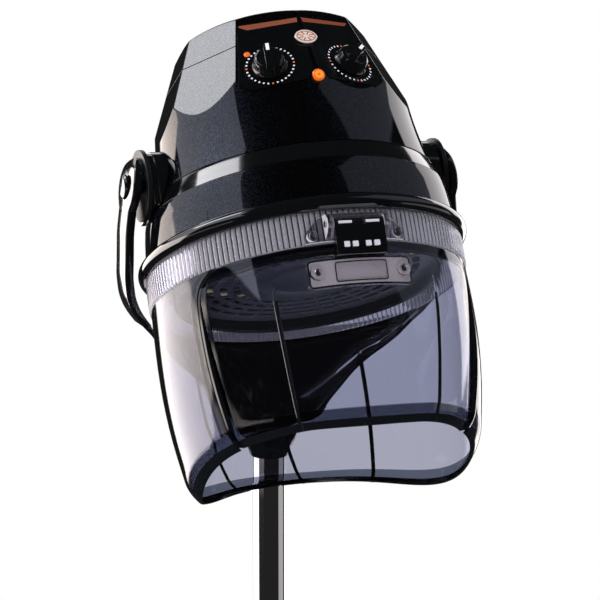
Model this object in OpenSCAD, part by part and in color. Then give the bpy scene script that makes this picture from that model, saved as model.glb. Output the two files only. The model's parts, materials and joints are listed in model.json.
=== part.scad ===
// Hooded hair dryer on a wheeled column, in millimetres.
// Origin: on the floor, on the axis of the column. +Z is up and the face opening looks along -Y.
// Pieces of the hood are drawn in the hood's own frame: its origin is the centre of the lip's
// lower edge, +Z runs up the axis of the hood and -Y points to the front.

/* [Stand] */
// Height of the tilt pivot above the floor
pivot_z = 1330; // [1250:5:1390]
// Distance of the tilt pivot in front of the column axis
pivot_fwd = 85; // [80:1:95]
// Radius of the chrome pole
pole_r = 20; // [18:0.5:22]
// Height of the top of the outer column tube
column_top_z = 740; // [640:10:800]
// Wall of the outer column tube
column_wall = 3; // [2:0.5:4]
// Distance of a castor stem from the column axis
base_r = 290; // [240:5:340]
// Number of legs and castors
leg_count = 5; // [4:1:6]
// Width of a leg at the hub
leg_w = 42; // [30:1:46]
// Radius of a castor wheel
wheel_r = 25; // [20:1:30]
// Width of one castor wheel
wheel_w = 13; // [9:1:16]
// Trail of the wheel axle behind the castor stem
castor_trail = 17; // [12:1:22]

/* [Hood] */
// Tilt of the hood back from upright, at rest
hood_tilt = 28.5; // [27:0.5:36]
// Height of the tilt pivot above the lip's lower edge
pivot_u = 106; // [100:1:112]
// Radius of the lip's lower edge
lip_r = 186; // [180:1:190]
// How far the rounded lip stands out
lip_bulge = 8; // [4:0.5:9]
// Height of the rounded lip
lip_h = 19.5; // [16:0.5:22]
// Radius at the top of the mid ring
band_low_r = 178; // [174:0.5:180]
// Height of the top of the mid ring
band_low_u = 66; // [58:1:72]
// Radius at the foot of the upper shell
band_top_r = 168; // [164:0.5:172]
// Height of the foot of the upper shell
band_top_u = 89; // [82:1:94]
// Radius to the lower ends of the facet ridges
ridge_low_r = 151.5; // [148:0.5:154]
// Height of the lower ends of the facet ridges
ridge_low_u = 183; // [176:1:188]
// Radius to the top corners of the facets
ridge_top_r = 115; // [110:0.5:122]
// Height of the top corners of the facets
ridge_top_u = 272; // [262:1:282]
// Height of the parting line of the top cover
parting_u = 233; // [228:1:240]
// Wall of the moulded shells
shell_wall = 3; // [2.5:0.5:3.5]

/* [Controls] */
// Height of the two dials on the hood
dial_u = 196; // [190:1:202]
// Sideways place of a dial on its facet, outwards from the middle of the facet
dial_side = 5; // [0:1:8]
// Radius of a knob
knob_r = 20.5; // [16:0.5:23]
// Radius of the printed scale ring
scale_r = 29.5; // [26:0.5:31]
// Radius of the round pilot lamp
lamp_r = 7; // [5:0.5:8]

/* [Bonnet and visor] */
// Height of the fluted band under the lip
flute_h = 37; // [30:1:42]
// Number of flutes round the band
flute_count = 180; // [120:4:200]
// Wall of the clear mouldings
clear_wall = 3; // [2.5:0.5:3.5]
// Depth of the rear wall below the lip
rear_depth = 232; // [220:1:240]
// Extra depth of the side lobes
lobe_depth = 30; // [15:1:34]
// Half angle of the face opening, which the visor fills
visor_angle = 61; // [56:1:64]
// Depth of the visor below the lip
visor_depth = 233; // [222:1:238]
// Distance of the visor's flat front from the hood axis, at its foot
visor_front = 141; // [136:1:146]
// Radius of the face opening's two upper corners
corner_r = 36; // [20:2:44]

/* [Air] */
// Radius of the diffuser disc
diffuser_r = 153; // [148:1:156]
// Depth of the diffuser disc below the lip's lower edge
diffuser_drop = 20; // [16:1:24]
// Number of slots in a ring of the diffuser
slot_count = 30; // [24:2:40]
// Radius of the fan
fan_r = 68; // [56:1:72]
// Number of fan blades
blade_count = 7; // [5:1:9]

/* [Hidden] */
$fn = 96;

run_gap = 0.05;            // radial clearance of a shaft in its bore
slip_gap = 0.3;            // clearance between mouldings that pass each other
facets = 10;
facet_step = 360 / facets;
apothem_share = cos(facet_step / 2);
ridge_slope = (ridge_low_r - ridge_top_r) / (ridge_top_u - ridge_low_u);
facet_lean = atan(apothem_share * ridge_slope);
shell_black = [0.06, 0.07, 0.08];
trim_black = [0.03, 0.03, 0.04];
smoke = [0.55, 0.55, 0.66, 0.5];
steel = [0.75, 0.76, 0.78];
chrome = [0.85, 0.86, 0.88];
orange = [0.95, 0.48, 0.12];
mica = [0.82, 0.74, 0.55];

// ---------- frames ----------
module at_pivot() translate([0, -pivot_fwd, pivot_z]) children();
module in_hood() at_pivot() rotate([-hood_tilt, 0, 0]) translate([0, 0, -pivot_u]) children();
module both_sides() for (side = [-1, 1]) on_side(side) children();
module on_side(side) if (side < 0) mirror([1, 0, 0]) children(); else children();

// Radius of the ridges of the ten-sided top at height u
function ridge_r(u) = ridge_low_r - (u - ridge_low_u) * ridge_slope;
// Frame on a facet: x sideways, y up the slope, z outwards
module on_facet(turn, u, gap = 0) rotate([0, 0, turn]) translate([0, -apothem_share * ridge_r(u), u])
    rotate([90 - facet_lean, 0, 0]) translate([0, 0, gap]) children();

// ---------- hood shells ----------
skirt_steps = 8;
// The skirt is slightly barrelled: steep at the facets, flaring to the trim band
function skirt_r(u) = let (s = (ridge_low_u - u) / (ridge_low_u - band_top_u))
    ridge_low_r + (band_top_r - ridge_low_r) * (s < 0 ? 0.35 * s : 0.35 * s + 0.65 * s * s);
skirt_line = [for (i = [0:skirt_steps]) let (u = band_top_u + (ridge_low_u - band_top_u) * i / skirt_steps)
    [skirt_r(u), u]];
module skirt_solid(inset, low_u, high_u) rotate_extrude() polygon(concat(
    [[0, low_u], [skirt_r(band_top_u) - inset, low_u]],
    [for (p = skirt_line) if (p[1] > low_u + 1) [p[0] - inset, p[1]]],
    [[skirt_r(ridge_low_u) - inset + 4, high_u], [0, high_u]]));
module facet_solid(inset, low_u, high_u) translate([0, 0, low_u]) rotate([0, 0, -90])
    cylinder(h = high_u - low_u, r1 = ridge_r(low_u) - inset, r2 = ridge_r(high_u) - inset, $fn = facets);
module outer_form(inset, low_u, high_u) intersection() {
    skirt_solid(inset, low_u, high_u);
    facet_solid(inset, low_u - 1, high_u + 1);
}
shaft_hole_r = 5;
dial_turn = facet_step / 2;
module dial_places() for (side = [-1, 1]) on_facet(side * dial_turn, dial_u)
    translate([side * dial_side, 0, 0]) children();

module upper_shell() color(shell_black) in_hood() difference() {
    union() {
        difference() {
            outer_form(0, band_top_u, parting_u);
            outer_form(shell_wall, band_top_u - 1, parting_u + 1);
        }
        // ledge that the top cover sits on
        difference() {
            facet_solid(shell_wall - 0.5, parting_u - 6, parting_u);
            facet_solid(shell_wall + 7, parting_u - 7, parting_u + 1);
        }
    }
    dial_places() translate([0, 0, -12]) cylinder(h = 24, r = shaft_hole_r);
    at_neon() translate([0, 0, -10]) cylinder(h = 20, r = neon_stem_r + 0.1);
    at_pilot() translate([0, 0, -10]) cylinder(h = 20, r = pilot_r + 0.1);
    translate([0, 0, pivot_u]) rotate([0, 90, 0]) cylinder(h = 4 * lip_r, r = bolt_r + 0.5, center = true);
    vents();
}
vent_count = 9;
module vents() for (turn = [-2:2]) if (turn != 0) for (i = [0:vent_count - 1])
    on_facet(180 + turn * facet_step, ridge_low_u + 8 + i * 4.4)
        translate([-18, -0.9, -8]) cube([36, 1.8, 16]);

roof_edge = 9;
roof_rise = 16;
module roof_solid(inset) rotate_extrude() polygon(concat(
    [[0, parting_u - 1], [ridge_low_r, parting_u - 1], [ridge_low_r, ridge_top_u - 26]],
    [[ridge_top_r + 8 - inset, ridge_top_u - 7 - inset], [ridge_top_r - inset, ridge_top_u - inset],
     [ridge_top_r - roof_edge - inset, ridge_top_u + 6 - inset],
     [ridge_top_r - 26 - inset, ridge_top_u + 10.5 - inset], [60, ridge_top_u + roof_rise - 2 - inset],
     [0, ridge_top_u + roof_rise - inset]]));
module cover_form(inset) intersection() {
    facet_solid(inset, parting_u - 2, ridge_top_u + roof_rise + 2);
    roof_solid(inset);
}
module top_cover() color(shell_black) in_hood() difference() {
    intersection() {
        cover_form(0);
        translate([0, 0, parting_u + 0.2]) cylinder(h = 90, r = ridge_low_r);
    }
    cover_form(shell_wall);
}

band_wall = 2.6;
function band_r(u) = band_low_r + (band_top_r - band_low_r) * (u - band_low_u) / (band_top_u - band_low_u);
module trim_band() color(trim_black) in_hood() rotate_extrude() polygon([
    [band_low_r - 1.2, band_low_u + 0.1], [band_top_r - 0.6, band_top_u - 0.1],
    [band_top_r - shell_wall, band_top_u - 0.1], [band_r(band_top_u - 6) - 0.8 - band_wall, band_top_u - 6],
    [band_low_r - 1.2 - band_wall, band_low_u + 0.1]]);

ring_foot_r = lip_r - 2.6;
gland_u = 44;
gland_r = 9;
gland_flange_r = gland_r + 3;
function ring_r(u) = ring_foot_r + (band_low_r - ring_foot_r) * (u - lip_h) / (band_low_u - lip_h);
module mid_ring() color(shell_black) in_hood() difference() {
    rotate_extrude() polygon([
        [ring_foot_r, lip_h + 0.1], [band_low_r, band_low_u], [band_low_r - shell_wall - 2, band_low_u],
        [ring_r(band_low_u - 4) - shell_wall - 2, band_low_u - 4],
        [ring_r(band_low_u - 9) - shell_wall, band_low_u - 9],
        [ring_foot_r - shell_wall, lip_h + 4], [ring_foot_r - shell_wall - 3, lip_h + 0.1]]);
    translate([0, 0, gland_u]) rotate([-90, 0, 0]) cylinder(h = 2 * ring_foot_r, r = gland_r + 0.1);
}

bead_steps = 10;
bead = [for (i = [0:bead_steps]) let (a = -62 + 146 * i / bead_steps)
    [lip_r - 4 + (lip_bulge + 4) * cos(a), lip_h * 0.47 + lip_h * 0.53 * sin(a)]];
pan_seat_u = 5;
module lip_ring() color(shell_black) in_hood() rotate_extrude() polygon(concat(
    [[lip_r - 9, 0]], [for (p = bead) [p[0], max(0, min(p[1], lip_h))]],
    [[lip_r - 6, lip_h], [lip_r - 9, lip_h - 3], [lip_r - 9, pan_seat_u + 2],
     [lip_r - 12, pan_seat_u + 2], [lip_r - 12, 0]]));

// ---------- controls ----------
plate_t = 0.8;
plate_low_half = 44;
plate_high_half = 35;
plate_low = -33;
plate_high = 70;
dial_face_t = 0.4;
function plate_outline(side) = [[-side * plate_low_half, plate_low + 20], [-side * 34, plate_low + 5],
    [side * 30, plate_low], [side * plate_low_half, plate_low + 9], [side * plate_high_half, plate_high],
    [-side * plate_high_half, plate_high]];
module control_plate() color(trim_black) in_hood() for (side = [-1, 1]) on_facet(side * dial_turn, dial_u, 0.05)
    difference() {
        union() {
            linear_extrude(plate_t) polygon(plate_outline(side));
            translate([side * dial_side, 0, 0]) cylinder(h = plate_t + dial_face_t, r = scale_r);
        }
        translate([side * dial_side, 0, -1]) cylinder(h = 4, r = shaft_hole_r);
        if (side < 0) translate(pilot_place) translate([0, 0, -1]) cylinder(h = 4, r = pilot_r + 0.1);
    }
pilot_r = 3.8;
pilot_place = [-29, 23, 0];
module at_pilot() on_facet(-dial_turn, dial_u) translate(pilot_place) children();
neon_u = 174;
neon_stem_r = 4.5;
// The large lamp sits on the skirt just under the front ridge
module at_neon() translate([0, -skirt_r(neon_u), neon_u]) rotate([90 - skirt_lean(neon_u), 0, 0]) children();
function skirt_lean(u) = atan((skirt_r(u - 1) - skirt_r(u + 1)) / 2);
badge_half = 15;
badge_tall = 9.5;
badge_u = 230;
// The badge sits astride the front ridge
module on_ridge(u, gap = 0) translate([0, -ridge_r(u), u]) rotate([90 - atan(ridge_slope), 0, 0])
    translate([0, 0, gap]) children();
module badge_plate() color(steel) in_hood() on_ridge(badge_u, 0.9) intersection() {
    linear_extrude(1.6) intersection_for(side = [-1, 1]) translate([0, side * (badge_half - badge_tall) * 0.72])
        circle(r = badge_half - 0.6);
    translate([0, 0, -14]) sphere(r = 20);
}
lamp_round = 2.4;
module neon_lamp() color(orange) in_hood() at_neon() rotate_extrude() polygon(concat(
    [[0, -shell_wall], [neon_stem_r, -shell_wall], [neon_stem_r, 0.3], [lamp_r, 0.3]],
    [for (a = [0:15:90]) [lamp_r - lamp_round + lamp_round * cos(a), 1.2 + lamp_round * sin(a)]], [[0, 3.9]]));
module pilot_lamp() color(orange) in_hood() at_pilot() rotate_extrude()
    polygon(concat([[0, -2], [pilot_r, -2]], [for (a = [0:22.5:90]) [pilot_r * cos(a), 1 + 1.6 * sin(a)]]));

shaft_r = 3;
knob_lift = 1.6;
module control_body(side) on_facet(side * dial_turn, dial_u)
    translate([side * dial_side, 0, -shell_wall * apothem_share]) difference() {
        union() {
            translate([-22, -22, -28]) linear_extrude(27) offset_square(44, 5);
            translate([0, 0, -1.2]) cylinder(h = 1.2, r = 12);
        }
        translate([0, 0, -16]) cylinder(h = 20, r = shaft_r + run_gap);
    }
module offset_square(size, round_r) difference() {
    square(size);
    for (x = [0, 1]) for (y = [0, 1]) translate([x * size, y * size]) difference() {
        square(2 * round_r, center = true);
        translate([(0.5 - x) * 2 * round_r, (0.5 - y) * 2 * round_r]) circle(r = round_r);
    }
}
module timer_body() color([0.85, 0.84, 0.8]) in_hood() control_body(-1);
module thermostat_body() color([0.85, 0.84, 0.8]) in_hood() control_body(1);

// A knob with a raised pointer grip on a skirt, on a shaft that enters the control body
module knob(side, pointer) on_facet(side * dial_turn, dial_u) translate([side * dial_side, 0, knob_lift])
    rotate([0, 0, pointer]) union() {
        rotate_extrude() polygon([[0, 0], [knob_r, 0], [knob_r, 1.6], [knob_r - 1.8, 4], [knob_r - 3.5, 13],
            [knob_r - 6, 15], [0, 15]]);
        intersection() {
            translate([-4.5, -knob_r + 1, 1]) cube([9, 2 * knob_r + 5, 21]);
            rotate([90, 0, 90]) translate([0, 0, -5]) linear_extrude(10) polygon([[-knob_r + 1.5, 2],
                [-knob_r + 4, 17], [-knob_r + 8, 20.5], [knob_r - 6, 20.5], [knob_r + 1, 14], [knob_r + 5, 2]]);
        }
        translate([0, 0, -knob_lift - 15]) cylinder(h = knob_lift + 16, r = shaft_r);
    }
thermostat_pointer = -48;
module timer_knob() color(trim_black) in_hood() knob(-1, 0);
module thermostat_knob() color(trim_black) in_hood() knob(1, thermostat_pointer);

// ---------- air path ----------
motor_r = 40;
motor_low_u = 150;
motor_h = 62;
motor_shaft_r = 4;
motor_bracket_t = 4;
module motor() color(steel) in_hood() translate([0, 0, motor_low_u]) difference() {
    rotate_extrude() polygon([[0, 0], [motor_r - 10, 0], [motor_r - 4, 3], [motor_r - 4, 12], [motor_r, 13],
        [motor_r, motor_h - 18], [motor_r - 4, motor_h - 17], [motor_r - 4, motor_h - 6],
        [motor_r - 12, motor_h], [0, motor_h]]);
    translate([0, 0, -1]) cylinder(h = 32, r = motor_shaft_r + run_gap);
}
module motor_bracket() color(steel) in_hood() intersection() {
    translate([0, 0, motor_low_u - motor_bracket_t]) difference() {
        union() {
            cylinder(h = motor_bracket_t, r = motor_r);
            for (turn = [30:120:270]) rotate([0, 0, turn]) translate([0, -12, 0])
                cube([200, 24, motor_bracket_t]);
        }
        translate([0, 0, -1]) cylinder(h = motor_bracket_t + 2, r = motor_shaft_r + 8);
    }
    skirt_solid(shell_wall + slip_gap, band_top_u, parting_u);
}
blade_t = 2;
fan_u = 112;
fan_hub_r = 16;
module fan_wheel() color([0.9, 0.9, 0.88]) in_hood() translate([0, 0, fan_u]) union() {
    cylinder(h = 16, r = fan_hub_r);
    for (i = [0:blade_count - 1]) rotate([0, 0, i * 360 / blade_count]) intersection() {
        translate([fan_hub_r - 2, 0, 8]) rotate([32, 0, 0]) translate([0, -14, -blade_t / 2])
            cube([fan_r, 28, blade_t]);
        difference() {
            cylinder(h = 16, r = fan_r);
            translate([0, 0, -1]) cylinder(h = 18, r = fan_hub_r - 1);
        }
    }
    cylinder(h = motor_low_u - fan_u + 28, r = motor_shaft_r);
}
// Cone that leads the air from the fan down to the diffuser
guide_low_r = diffuser_r - 6;
guide_low_u = pan_seat_u + 3.2;
module air_guide() color(steel) in_hood() rotate_extrude() polygon([
    [guide_low_r, guide_low_u], [guide_low_r + 6, guide_low_u], [guide_low_r + 6, guide_low_u + 1.5],
    [guide_low_r + 1, guide_low_u + 1.5], [fan_r + 4, 96], [fan_r + 4, 132],
    [fan_r + 2.5, 132], [fan_r + 2.5, 95.5], [guide_low_r - 0.5, guide_low_u + 1]]);
// Sheet that closes the space between the lip and the diffuser
module inner_pan() color(steel) in_hood() rotate_extrude() polygon([
    [lip_r - 9.3, pan_seat_u + 2.2], [lip_r - 9.3, pan_seat_u + 3.2], [diffuser_r - 8, pan_seat_u + 3.2],
    [diffuser_r - 8, pan_seat_u + 1.2], [lip_r - 14, pan_seat_u + 1.2], [lip_r - 14, pan_seat_u + 2.2]]);
collar_w = 4;
module diffuser_collar() color(trim_black) in_hood() rotate_extrude() polygon([
    [diffuser_r, -diffuser_drop + 4], [diffuser_r, pan_seat_u + 1], [diffuser_r + 9, pan_seat_u + 1],
    [diffuser_r + 9, pan_seat_u - 1], [diffuser_r + collar_w, pan_seat_u - 2],
    [diffuser_r + collar_w, -diffuser_drop - 12], [diffuser_r + collar_w - 1.5, -diffuser_drop - 14],
    [diffuser_r + 0.5, -diffuser_drop - 14], [diffuser_r - 2, -diffuser_drop - 12],
    [diffuser_r - 2, -diffuser_drop - 0.5], [diffuser_r + 0.2, -diffuser_drop - 0.5],
    [diffuser_r + 0.2, -diffuser_drop + 4]]);
slot_pitch = 16;
slot_w = 8.5;
slot_rim = 18.5;
slot_rings = [for (i = [3:-1:0]) let (out = diffuser_r - slot_rim - i * slot_pitch) [out - slot_w, out]];
bar_w = 3.8;
module slot(ring) let (half_in = 180 / slot_count - asin(bar_w / 2 / ring[0]),
    half_out = 180 / slot_count - asin(bar_w / 2 / ring[1])) polygon([
    for (a = [-half_in, half_in]) ring[0] * [cos(a), sin(a)],
    for (a = [half_out, 0, -half_out]) ring[1] * [cos(a), sin(a)]]);
module diffuser_grille() color([0.93, 0.93, 0.95]) in_hood() translate([0, 0, -diffuser_drop]) union() {
    linear_extrude(2.4) difference() {
        circle(r = diffuser_r - 0.1);
        for (ring = slot_rings) for (i = [0:slot_count - 1]) rotate([0, 0, i * 360 / slot_count]) slot(ring);
    }
    translate([0, 0, 2]) cylinder(h = 3, r = 44);
}
heater_r = 92;
heater_low_u = guide_low_u + 0.1;
heater_h = 26;
module heater_frame() color(mica) in_hood() translate([0, 0, heater_low_u]) union() {
    for (turn = [0, 90]) rotate([0, 0, turn]) rotate([90, 0, 0]) translate([0, 0, -1]) linear_extrude(2)
        polygon([[-guide_low_r + 9, 1.6], [-heater_r, 1.6], [-heater_r, 0], [heater_r, 0], [heater_r, 1.6],
            [guide_low_r - 9, 1.6], [guide_low_r - 14, 3.4], [heater_r, 3.4], [heater_r - 3, heater_h],
            [-heater_r + 3, heater_h], [-heater_r, 3.4], [-guide_low_r + 14, 3.4]]);
    for (turn = [45, 135, 225, 315]) rotate([0, 0, turn]) translate([guide_low_r - 8.6, -5, 0.1])
        cube([7, 10, 1.2]);
    difference() {
        cylinder(h = 1.6, r = guide_low_r - 1.2);
        translate([0, 0, -1]) cylinder(h = 4, r = guide_low_r - 10);
    }
}
coil_rings = [50, 62, 74];
module heater_coil() color([0.6, 0.45, 0.35]) in_hood() for (r = coil_rings)
    translate([0, 0, heater_low_u + heater_h + 2.6]) rotate_extrude() translate([r, 0]) circle(r = 2.4);

// ---------- clear mouldings ----------
// Closed wall between an outer and an inner net of points, given as rows of equal length
module wall(outer, inner) {
    rows = len(outer);
    cols = len(outer[0]);
    half = rows * cols;
    points = concat([for (row = outer) each row], [for (row = inner) each row]);
    function quad(a, b, c, d) = [[a, b, c], [a, c, d]];
    polyhedron(points, concat(
        [for (i = [0:rows - 2]) for (j = [0:cols - 2]) each quad(i * cols + j, i * cols + j + 1,
            (i + 1) * cols + j + 1, (i + 1) * cols + j)],
        [for (i = [0:rows - 2]) for (j = [0:cols - 2]) each quad(half + i * cols + j, half + (i + 1) * cols + j,
            half + (i + 1) * cols + j + 1, half + i * cols + j + 1)],
        [for (j = [0:cols - 2]) each quad(j, half + j, half + j + 1, j + 1)],
        [for (j = [0:cols - 2]) each quad((rows - 1) * cols + j, (rows - 1) * cols + j + 1,
            half + (rows - 1) * cols + j + 1, half + (rows - 1) * cols + j)],
        [for (i = [0:rows - 2]) each quad(i * cols, (i + 1) * cols, half + (i + 1) * cols, half + i * cols)],
        [for (i = [0:rows - 2]) each quad(i * cols + cols - 1, half + i * cols + cols - 1,
            half + (i + 1) * cols + cols - 1, (i + 1) * cols + cols - 1)]), convexity = 6);
}
function smooth(x) = let (c = max(0, min(1, x))) c * c * (3 - 2 * c);
function polar(theta, r, u) = [r * sin(theta), -r * cos(theta), u];

clear_top_r = lip_r - 1.4;       // outer radius where the walls leave the fluted band
rib_h = 2.2;
rib_w = 1.0;                     // half width of a rib, in degrees
rib_ramp = 0.5;
rim_share = 0.11;                // share of the wall's height that curls in as a rim
rim_curl = 8;
bonnet_ribs = [145, 180, 215];
visor_ribs = [-31, 31];
function ribbed(list, low, high, step) = let (sorted_steps = [for (a = [low:step:high])
    if (min([for (r = list) abs(a - r)]) > rib_w + rib_ramp + 0.4) a])
    merge_sorted(concat(sorted_steps, [for (r = list) each [r - rib_w - rib_ramp, r - rib_w, r + rib_w,
        r + rib_w + rib_ramp]]));
function merge_sorted(v) = len(v) < 2 ? v : let (pivot = v[floor(len(v) / 2)])
    concat(merge_sorted([for (x = v) if (x < pivot) x]), [pivot], merge_sorted([for (x = v) if (x > pivot) x]));
function rib_at(list, theta) = min([for (r = list) abs(theta - r)]) <= rib_w + 0.01 ? rib_h : 0;
function rim_inset(s) = rim_curl * pow(max(0, (s - 1 + rim_share) / rim_share), 2);
// Thickness of the clear walls, with a stouter lip along the foot
lip_extra = 2;
function clear_wall_at(s) = clear_wall + (s > 0.97 ? lip_extra : 0);

// The opening's upper corners are round: how far its edge leans to the middle, in degrees
function corner_lean(u) = let (rise = max(0, min(corner_r, corner_r + flute_h + u)))
    (corner_r - sqrt(pow(corner_r, 2) - pow(rise, 2))) / clear_top_r * 180 / PI;

// Side and rear wall: round at the top, drawn in at the foot, lobes at the sides
bonnet_foot_side = 170;
bonnet_foot_rear = 134;
bonnet_foot_front = 162;
function bonnet_foot_r(theta) = let (a = abs(theta - 180), back = cos(min(a, 90)))
    a > 90 ? bonnet_foot_side - (bonnet_foot_side - bonnet_foot_front) * pow((a - 90) / (90 - visor_angle), 2)
        : bonnet_foot_side - (bonnet_foot_side - bonnet_foot_rear) * pow(back, 3);
function bonnet_foot_u(theta) = let (a = 180 - abs(theta - 180))
    -rear_depth - lobe_depth * exp(-pow((a - 108) / 32, 2));
function bonnet_r(theta, s) = clear_top_r + 2.2 * sin(180 * min(1, s * 1.2))
    + (bonnet_foot_r(theta) - clear_top_r) * pow(s, 3) - rim_inset(s);
edge_gap = 0.45;                 // degrees between the visor and the bonnet
corner_gap = 2;                  // how far the visor's corners lie under the bonnet's
bonnet_cols = ribbed(bonnet_ribs, visor_angle + edge_gap, 360 - visor_angle - edge_gap, 4.718);
wall_rows = [0, 0.007, 0.025, 0.055, 0.1, 0.16, 0.24, 0.34, 0.46, 0.58, 0.7, 0.8, 0.88, 0.92, 0.96, 0.975, 1];
function bonnet_point(theta, s, inset) = let (u_top = -flute_h + 1, u_low = bonnet_foot_u(theta),
    u = u_top + (u_low - u_top) * s,
    side_share = max(0, abs(theta - 180) - 90) / (90 - visor_angle - edge_gap),
    turned = theta + sign(theta - 180) * pow(side_share, 2) * corner_lean(u),
    rib = s > 0.2 ? rib_at(bonnet_ribs, theta) : 0)
    polar(turned, bonnet_r(theta, s) - inset + (inset == 0 ? rib : 0), u);
module flute_band() difference() {
    translate([0, 0, -flute_h]) linear_extrude(flute_h - 0.05) polygon([for (i = [0:flute_count * 2 - 1])
        let (a = i * 180 / flute_count, r = lip_r + (i % 2 == 0 ? 0.6 : -1)) [r * cos(a), r * sin(a)]]);
    translate([0, 0, -flute_h - 1]) cylinder(h = flute_h + 2, r = lip_r - 5);
}
module bonnet() color(smoke) in_hood() difference() {
    union() {
        flute_band();
        wall([for (s = wall_rows) [for (t = bonnet_cols) bonnet_point(t, s, 0)]],
             [for (s = wall_rows) [for (t = bonnet_cols) bonnet_point(t, s, clear_wall_at(s))]]);
    }
    screw_pair(hinge_screw_x, hinge_screw_u) cylinder(h = 40, r = screw_hole_r, center = true, $fn = 24);
}
// Two places side by side on the front of the clear mouldings, with z to the front
module screw_pair(x, u) for (side = [-1, 1]) translate([side * x, -sqrt(pow(lip_r, 2) - pow(x, 2)), u])
    rotate([90, 0, 0]) children();

// Visor: a rounded front panel with two corner ribs and a curled foot
visor_side_foot = 159;
visor_top_u = -flute_h - 1.6;
function visor_foot_r(theta) = min(visor_side_foot, visor_front / cos(theta))
    - 2.5 * exp(-pow((abs(theta) - 28) / 7, 2));
function visor_r(theta, s) = clear_top_r + 3 * sin(180 * min(1, s * 1.1))
    + (visor_foot_r(theta) - clear_top_r) * pow(s, 1.5) - rim_inset(s);
visor_cols = ribbed(visor_ribs, -visor_angle, visor_angle, 3.813);
function visor_point(theta, s, inset) = let (u = visor_top_u + (-visor_depth - visor_top_u) * s,
    turned = theta - sign(theta) * pow(abs(theta) / visor_angle, 3) * corner_lean(u + corner_gap),
    rib = s > 0.3 ? rib_at(visor_ribs, theta) : 0)
    polar(turned, visor_r(theta, s) - inset + (inset == 0 ? rib : 0), u);
bracket_screw_x = 50;
bracket_screw_u = -72;
screw_hole_r = 2.2;
module visor() color(smoke) in_hood() difference() {
    wall([for (s = wall_rows) [for (t = visor_cols) visor_point(t, s, 0)]],
         [for (s = wall_rows) [for (t = visor_cols) visor_point(t, s, clear_wall_at(s))]]);
    screw_pair(bracket_screw_x, bracket_screw_u) cylinder(h = 40, r = screw_hole_r, center = true, $fn = 24);
}

// ---------- visor hinge ----------
hinge_pin_r = 2.5;
hinge_y = -(lip_r + 12);
hinge_u = -21;
block_half = 29;
barrel_r = 6;
cheek_t = 7;
cheek_in = block_half + 0.4;
cheek_out = cheek_in + cheek_t;
cover_half = 57;
cover_in_r = lip_r + 0.9;
cover_out_r = cover_in_r + 3.2;
hinge_screw_x = 50;
hinge_screw_u = -30;
washer_r = 6;
washer_t = 3.4;
// Clear housing screwed to the fluted band: a curved plate, two cheeks for the pin and a roof
module hinge_cover() color(smoke) in_hood() difference() {
    union() {
        intersection() {
            translate([0, 0, -60]) difference() {
                cylinder(h = 60, r = cover_out_r);
                translate([0, 0, -1]) cylinder(h = 62, r = cover_in_r);
            }
            rotate([90, 0, 0]) linear_extrude(2 * lip_r) polygon([[-cover_half, -37], [cover_half, -37],
                [cover_half, -25], [cheek_out + 4, -9], [18, -6], [-18, -6], [-cheek_out - 4, -9],
                [-cover_half, -25]]);
        }
        both_sides() translate([cheek_in, 0, 0]) rotate([90, 0, 90]) linear_extrude(cheek_t) polygon([
            [-cover_in_r - 1.5, -36], [hinge_y - 1, -31], [hinge_y - 7, -25], [hinge_y - 7, -17],
            [hinge_y - 1, -10], [-cover_in_r - 1.5, -8]]);
        translate([-cheek_out, 0, 0]) rotate([90, 0, 90]) linear_extrude(2 * cheek_out) polygon([
            [-cover_in_r - 1.5, -8], [hinge_y - 1, -10], [hinge_y - 3, -11.4], [hinge_y - 3, -13],
            [-cover_in_r - 1.5, -10]]);
        screw_pair(hinge_screw_x, hinge_screw_u) translate([0, 0, 3]) cylinder(h = washer_t + 1, r = washer_r);
    }
    cylinder(h = 200, r = cover_in_r, center = true);
    hinge_bore();
    screw_pair(hinge_screw_x, hinge_screw_u) cylinder(h = 40, r = screw_hole_r, center = true, $fn = 24);
}
module hinge_bore() translate([0, hinge_y, hinge_u]) rotate([0, 90, 0])
    cylinder(h = 200, r = hinge_pin_r + run_gap, center = true);
// Pan-head screw on a face that lies `face` in front of its place on the band's radius
module pan_screw(face, grip) union() {
    translate([0, 0, face + 0.1]) rotate_extrude() polygon([[0, 0], [4.2, 0], [4.2, 0.9], [3.2, 2], [0, 2.3]]);
    translate([0, 0, face - grip]) cylinder(h = grip + 0.4, r = screw_hole_r - 0.1);
}
module hinge_screws() color(steel) in_hood() screw_pair(hinge_screw_x, hinge_screw_u)
    pan_screw(4 + washer_t, 16);
module hinge_pin() color(chrome) in_hood() translate([0, hinge_y, hinge_u]) rotate([0, 90, 0]) union() {
    cylinder(h = 2 * cheek_out + 1, r = hinge_pin_r, center = true);
    for (side = [-1, 1]) translate([0, 0, side * (cheek_out + 1)]) cylinder(h = 1.6, r = 4, center = true);
}
// Black barrel block that turns on the pin and carries the bracket of the visor
block_low_u = -57;
window_in = 5;
window_w = 15;
module visor_hinge_block() color(trim_black) in_hood() difference() {
    union() {
        translate([-block_half, hinge_y, hinge_u]) rotate([0, 90, 0])
            cylinder(h = 2 * block_half, r = barrel_r);
        translate([-block_half, 0, 0]) rotate([90, 0, 90]) linear_extrude(2 * block_half) polygon([
            [hinge_y - barrel_r, hinge_u], [hinge_y + 3, hinge_u - 3], [hinge_y + 5.5, block_low_u + 12],
            [hinge_y + 11, block_low_u + 7], [hinge_y + 11, block_low_u], [hinge_y - 1, block_low_u],
            [hinge_y - 4.5, block_low_u + 10]]);
    }
    hinge_bore();
    both_sides() translate([window_in, hinge_y - 20, -50]) cube([window_w, 40, 7]);
    both_sides() translate([window_in, hinge_y - barrel_r - 1.5, hinge_u - 4]) cube([window_w + 4, 3, 8]);
}
bracket_half = 60;
bracket_h = 32;
bracket_t = 5;
bracket_turn = asin(bracket_half / clear_top_r);
bracket_high_u = block_low_u - 0.1;
bracket_low_u = bracket_high_u - bracket_h;
function visor_share(u) = (visor_top_u - u) / (visor_top_u + visor_depth);
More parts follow.
